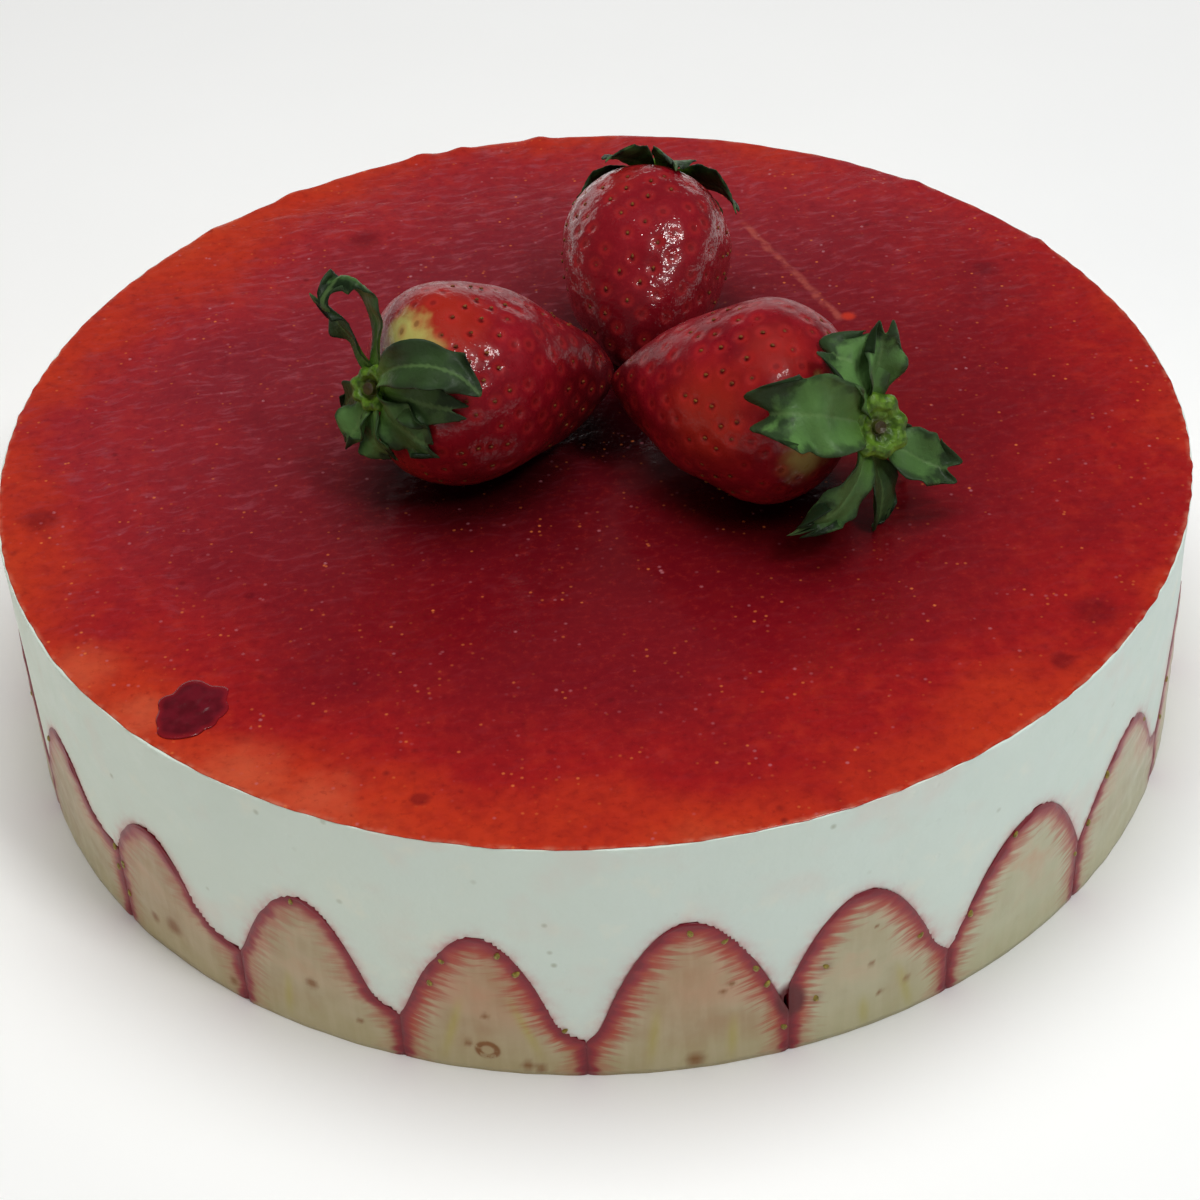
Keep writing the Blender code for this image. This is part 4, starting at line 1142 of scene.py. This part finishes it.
def push_off_berry(berry, points, clearance):
    """Move points straight out from the berry's middle until they stand clear of its skin."""
    calyx, axis, _, _, length = berry_frame(berry)
    shares = np.linspace(0, 1, SKIN_SAMPLES)
    radii = body_radius(berry, shares)
    ahead = (BERRY_CENTRE_SHARE - shares) * length
    centre = calyx - axis * BERRY_CENTRE_SHARE * length
    offset = points - centre
    reach = np.linalg.norm(offset, axis=-1)
    angle = np.arccos(np.clip(offset @ axis / reach, -1, 1))
    needed = np.interp(angle, np.arctan2(radii, ahead), np.hypot(radii, ahead)) + clearance
    return centre + offset * np.maximum(needed / reach, 1.0)[..., None]


def calyx_middle(berry, hub):
    """Middle of the leaves' feet, above the berry's end and below its axis."""
    calyx, axis, up, _, _ = berry_frame(berry)
    return calyx + axis * hub["height"] * MM - up * hub["below"] * MM


def leaf_line(leaf, outward, across, axis, place):
    """Places on a leaf's middle line, and the ways across and out there.

    The line bends, sweeps and twists on its way.
    """
    fine = np.linspace(0, 1, LEAF_LINE_STEPS + 1)
    bend = np.radians(leaf["lift"] + leaf["curl"] * fine ** leaf["late"])[:, None]
    sweep = np.radians(leaf["sweep"] * fine)[:, None]
    twist = np.radians(leaf["twist"] * fine)[:, None]
    rising = np.cos(bend) * outward + np.sin(bend) * axis
    forward = np.cos(sweep) * rising + np.sin(sweep) * across
    flat_across = np.cos(sweep) * across - np.sin(sweep) * rising
    flat_normal = np.cos(bend) * axis - np.sin(bend) * outward
    line_across = np.cos(twist) * flat_across + np.sin(twist) * flat_normal
    line_normal = np.cos(twist) * flat_normal - np.sin(twist) * flat_across
    steps = (forward[1:] + forward[:-1]) / 2 * leaf["length"] * MM / LEAF_LINE_STEPS
    line = np.concatenate([np.zeros((1, 3)), np.cumsum(steps, axis=0)])
    return [np.stack([np.interp(place, fine, values[:, k]) for k in range(3)], axis=-1)
            for values in (line, line_across, line_normal)]


def leaf_middle(berry, leaf, root, seed):
    """Middle surface of a leaf: cupped cross lines on a bent middle line, from foot to end.

    The cross lines end in teeth, lie a little wavy towards the margins, and dip along the veins.
    """
    _, axis, up, side, _ = berry_frame(berry)
    turn = math.radians(leaf["turn"])
    outward = up * math.cos(turn) + side * math.sin(turn)
    sideways = -up * math.sin(turn) + side * math.cos(turn)
    along, cross = np.meshgrid(np.linspace(0, 1, LEAF_ROWS), np.linspace(-1, 1, LEAF_COLUMNS), indexing="ij")
    notches = 0.5 - 0.5 * np.cos(math.pi * leaf["teeth"] * (cross + 1))
    place = along * (1 - leaf["blunt"] * cross ** 2 * along) - LEAF_NOTCH * (1 - notches) * along ** 6
    line, line_across, line_normal = leaf_line(leaf, outward, sideways, axis, place)
    half_width = leaf_half_width(leaf, along)
    half_width = half_width * (1 + LEAF_SERRATION * along * np.sin(along * 21 + seed + np.sign(cross)))
    flat = np.stack([along * leaf["length"] * MM, cross * half_width], axis=-1)
    slanted = along * leaf["length"] + 0.8 * np.abs(cross) * leaf["width"] / 2
    midrib = np.exp(-(cross * half_width / MIDRIB_WIDTH) ** 2)
    veins = midrib + 0.5 * np.cos(slanted * 2 * math.pi / VEIN_SPACING) ** 8
    ruffle = LEAF_RUFFLE * cross ** 2 * np.sin(along * 11 + seed * 1.7 + 1.2 * np.sign(cross))
    crumple = LEAF_CRUMPLE * along * waves(flat, LEAF_CRUMPLE_LENGTH, 60 + seed, 8) + ruffle
    rise = leaf["cup"] * half_width * cross ** 2 + leaf["crumple"] * crumple - VEIN_DEPTH * veins
    points = root + outward * LEAF_START + line + line_across * (cross * half_width)[..., None]
    points = push_off_berry(berry, points + line_normal * rise[..., None], LEAF_BERRY_CLEARANCE)
    points[..., 2] = np.maximum(points[..., 2], JELLY_TOP + LEAF_FLOOR_CLEARANCE)
    return points, along, cross, veins


def leaf_solid(points, along, cross, veins):
    """A leaf of two skins either side of its middle surface, thinner at the margin, as loops round it."""
    normal = unit(np.cross(np.gradient(points, axis=0), np.gradient(points, axis=1)))
    edge = np.maximum(np.abs(cross), along) ** 8
    half = LEAF_THICKNESS / 2 * (1 - (1 - LEAF_EDGE_SHARE) * edge)[..., None]
    over, under = points - normal * half, points + normal * half
    middle = (over + under) / 2
    foot, end = [np.concatenate([middle[row], middle[row][::-1]])[None] for row in (0, -1)]
    points = np.concatenate([foot, np.concatenate([over, under[:, ::-1]], axis=1), end])

    def both(values, sign=1.0):
        values = np.concatenate([values, sign * values[:, ::-1]], axis=1)
        return np.concatenate([values[:1], values, values[-1:]])

    side = both(np.ones_like(along), -1.0)
    return points, dict(along=both(along), across=both(cross), veins=both(veins), side=side)


def make_leaf_material():
    """Dark to light green by tone, yellower at the foot, darker at the margin and end, with paler veins."""
    material, tree, place = new_material("berry_leaf", 0.45, specular_ior_level=0.25)
    along, across = attribute(tree, "along"), attribute(tree, "across")
    shift = times(minus(noise(place, 3.5), 0.5), 0.7)
    margin = ease(plus(maths("ABSOLUTE", across), shift), 0.72, 1.0, 0.0, 0.8)
    end = ease(plus(along, shift), 0.68, 0.88, 0.0, 0.9)
    colour = stained(
        tint(attribute(tree, "tone"), srgb(24, 36, 16), srgb(84, 122, 62)),
        (masked(mottle, place, size=3.5, sharpness=0.2), (46, 72, 36), 0.3),
        (ease(along, 0.42, 0.05, 0.0, 0.9), (84, 124, 32)),
        (maths("MAXIMUM", margin, end), (14, 24, 14)),
        (ease(attribute(tree, "veins"), 0.3, 1.0, 0.0, 0.35), (104, 134, 78)),
        (ease(attribute(tree, "side"), 0.1, -0.1, 0.0, 0.14), (90, 118, 76)))
    return link_look(material, base_color=colour, roughness=ease(noise(place, 1.0), 0.3, 0.7, 0.36, 0.56),
                     normal=bumped((noise(place, 0.8), 0.12), (noise(place, 0.25), 0.03)))


def hub_surface(middle, tilt, hub_radius):
    """Turned hub with a lobed rim and a hollow in its top, from which the stub of the stem stands."""
    side = unit(np.cross(tilt, UPWARD))
    up = np.cross(side, tilt)
    rim = HUB_ABOVE_LEAVES
    hollow = 0.3 * rim
    outer = np.array([(0.0, HUB_FOOT / rim), (0.5, HUB_FOOT / rim), (0.9, -0.4), (1.0, 0.2), (0.94, 0.8),
                      (0.78, 1.06), (0.6, 1.0), (0.45, 0.5)])
    stub = np.array([(1.0, 0.0), (0.95, 0.5), (0.9, 1.0), (0.6, 0.9), (0.0, 0.7)])
    stub = stub * (STUB_RADIUS, STUB_LENGTH) + (0.0, hollow)
    profile = np.concatenate([outer * (hub_radius, rim), stub])
    fine = np.linspace(0, len(profile) - 1, HUB_ROWS)
    radius, height = [np.interp(fine, np.arange(len(profile)), profile[:, k])[:, None] for k in range(2)]
    around = full_turn(HUB_COLUMNS)
    lobes = (0.6 * np.cos(8 * around) + 0.5 * np.cos(3 * around + 1)) * (radius > 1.3 * STUB_RADIUS)
    radius = radius * (1 + 0.10 * lobes)
    height = height + HUB_LOBE_RISE * lobes * (height > 0)
    points = middle + tilt * height[..., None] + radius[..., None] * (
        up * np.cos(around)[..., None] + side * np.sin(around)[..., None])
    return points, np.clip(1.6 - radius / (1.25 * STUB_RADIUS), 0, 1) * (height > 0)


def make_hub_material():
    """Bright green, clouded, with the brown stub of the stem."""
    material, tree, place = new_material("calyx_hub", 0.4)
    green = tint(ease(noise(place, 1.5), 0.3, 0.7), srgb(50, 78, 14), srgb(98, 134, 38))
    stem = tint(noise(place, 0.8), srgb(70, 58, 26), srgb(42, 36, 18))
    colour = tint(attribute(tree, "stem"), green, stem)
    return link_look(material, base_color=colour, normal=bumped((noise(place, 0.6), 0.15)))


leaf_material = make_leaf_material()
hub_material = make_hub_material()
for place, berry in BERRIES.items():
    hub = HUBS[place]
    root = calyx_middle(berry, hub)
    leaf_points, leaf_faces, leaf_values, count = [], [], [], 0
    for number, leaf in enumerate(LEAVES[place]):
        leaf = {**LEAF_DEFAULTS, **leaf}
        points, values = leaf_solid(*leaf_middle(berry, leaf, root, number))
        values["tone"] = np.full(points.shape[:2], leaf["tone"])
        leaf_points.append(points.reshape(-1, 3))
        leaf_faces.append(grid_faces(*points.shape[:2]) + count)
        leaf_values.append({key: value.ravel() for key, value in values.items()})
        count += points.shape[0] * points.shape[1]
    joined = {key: np.concatenate([values[key] for values in leaf_values]) for key in leaf_values[0]}
    points, faces = np.concatenate(leaf_points), np.concatenate(leaf_faces)
    piece = new_piece(f"leaves_{place}", points, leaf_material, faces, **joined)
    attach(piece, "root")
    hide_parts(f"calyx_{place}")
    tilt = unit(np.array(hub["tilt"]))
    hub_points, hub_stem = hub_surface(root + tilt * hub["forward"] * MM, tilt, hub["radius"] * MM)
    piece = new_piece(f"hub_{place}", hub_points, hub_material, stem=hub_stem)
    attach(piece, "root")


# Floor, light and camera
# A plain pale floor in a softly lit white room: large soft lights overhead, behind, in front and at both
# sides, cool on the right and warm on the left, and the photograph's own viewpoint.
FLOOR_SIZE = 2.0
FLOOR_LEVEL = -0.1 * MM
WORLD_LIGHT = 0.07
WORLD_SEEN = 0.82
LIGHT_AIM = (0.0, 0.0, 0.05)
CAMERA_PLACE = (0.0, -0.41782, 0.35757)
CAMERA_AIM = (0.0, -0.05170, 0.0550)
CAMERA_ROLL = -2.7006
CAMERA_LENS = 79.18


def make_floor_material():
    """Nearly white, faintly clouded."""
    material, _, place = new_material("floor", 0.7, specular_ior_level=0.2)
    return link_look(material, base_color=tint(noise(place, 60.0), srgb(249, 249, 248), srgb(252, 252, 251)))


def add_softbox(name, place, width, height, power, colour=(1.0, 1.0, 1.0)):
    """Area light at a place, turned to the cake; returns the lamp."""
    light = bpy.data.lights.new(name, "AREA")
    light.shape = "RECTANGLE"
    light.size = width
    light.size_y = height
    light.energy = power
    light.color = colour
    lamp = bpy.data.objects.new(name, light)
    lamp.location = place
    lamp.visible_camera = False
    lamp.rotation_euler = (Vector(LIGHT_AIM) - Vector(place)).to_track_quat("-Z", "Y").to_euler()
    bpy.context.scene.collection.objects.link(lamp)
    return lamp


corner = FLOOR_SIZE / 2
floor_mesh = bpy.data.meshes.new("floor")
floor_corners = [(x * corner, y * corner, FLOOR_LEVEL) for x, y in ((-1, -1), (1, -1), (1, 1), (-1, 1))]
floor_mesh.from_pydata(floor_corners, [], [(0, 1, 2, 3)])
floor_mesh.materials.append(make_floor_material())
floor = bpy.data.objects.new("floor", floor_mesh)
bpy.context.scene.collection.objects.link(floor)

# Only the small highlight and the light behind mirror in the photograph: the others don't mirror here
add_softbox("overhead", (0.0, 0.08, 1.0), 0.8, 0.6, 7.6).visible_glossy = False
add_softbox("highlight", (0.45, -0.46, 0.98), 0.2, 0.2, 3.4)
add_softbox("behind", (-0.2, 1.3, 0.30), 2.2, 0.42, 2.4)
add_softbox("front", (-0.1, -1.7, 0.3), 1.2, 1.0, 2.9).visible_glossy = False
add_softbox("right", (1.4, -0.3, 0.3), 0.8, 0.7, 2.4, (0.76, 0.93, 1.0)).visible_glossy = False
add_softbox("left", (-1.4, -0.5, 0.3), 0.8, 0.7, 3.2, (1.0, 0.87, 0.62)).visible_glossy = False
world = bpy.data.worlds.new("studio")
world.use_nodes = True
world.node_tree.nodes["Background"].inputs["Color"].default_value = (1.0, 1.0, 1.0, 1.0)
seen = world.node_tree.nodes.new("ShaderNodeLightPath").outputs["Is Camera Ray"]
strength = ease(seen, 0.0, 1.0, WORLD_LIGHT, WORLD_SEEN)
world.node_tree.links.new(strength, world.node_tree.nodes["Background"].inputs["Strength"])
bpy.context.scene.world = world
bpy.context.scene.view_settings.view_transform = "Standard"

lens = bpy.data.cameras.new("camera")
lens.lens = CAMERA_LENS
lens.sensor_width = 36.0
lens.clip_start = 0.01
camera = bpy.data.objects.new("camera", lens)
camera.location = CAMERA_PLACE
aim = (Vector(CAMERA_AIM) - Vector(CAMERA_PLACE)).to_track_quat("-Z", "Y")
camera.rotation_mode = "QUATERNION"
camera.rotation_quaternion = aim @ Quaternion((0.0, 0.0, 1.0), math.radians(CAMERA_ROLL))
bpy.context.scene.collection.objects.link(camera)
bpy.context.scene.camera = camera
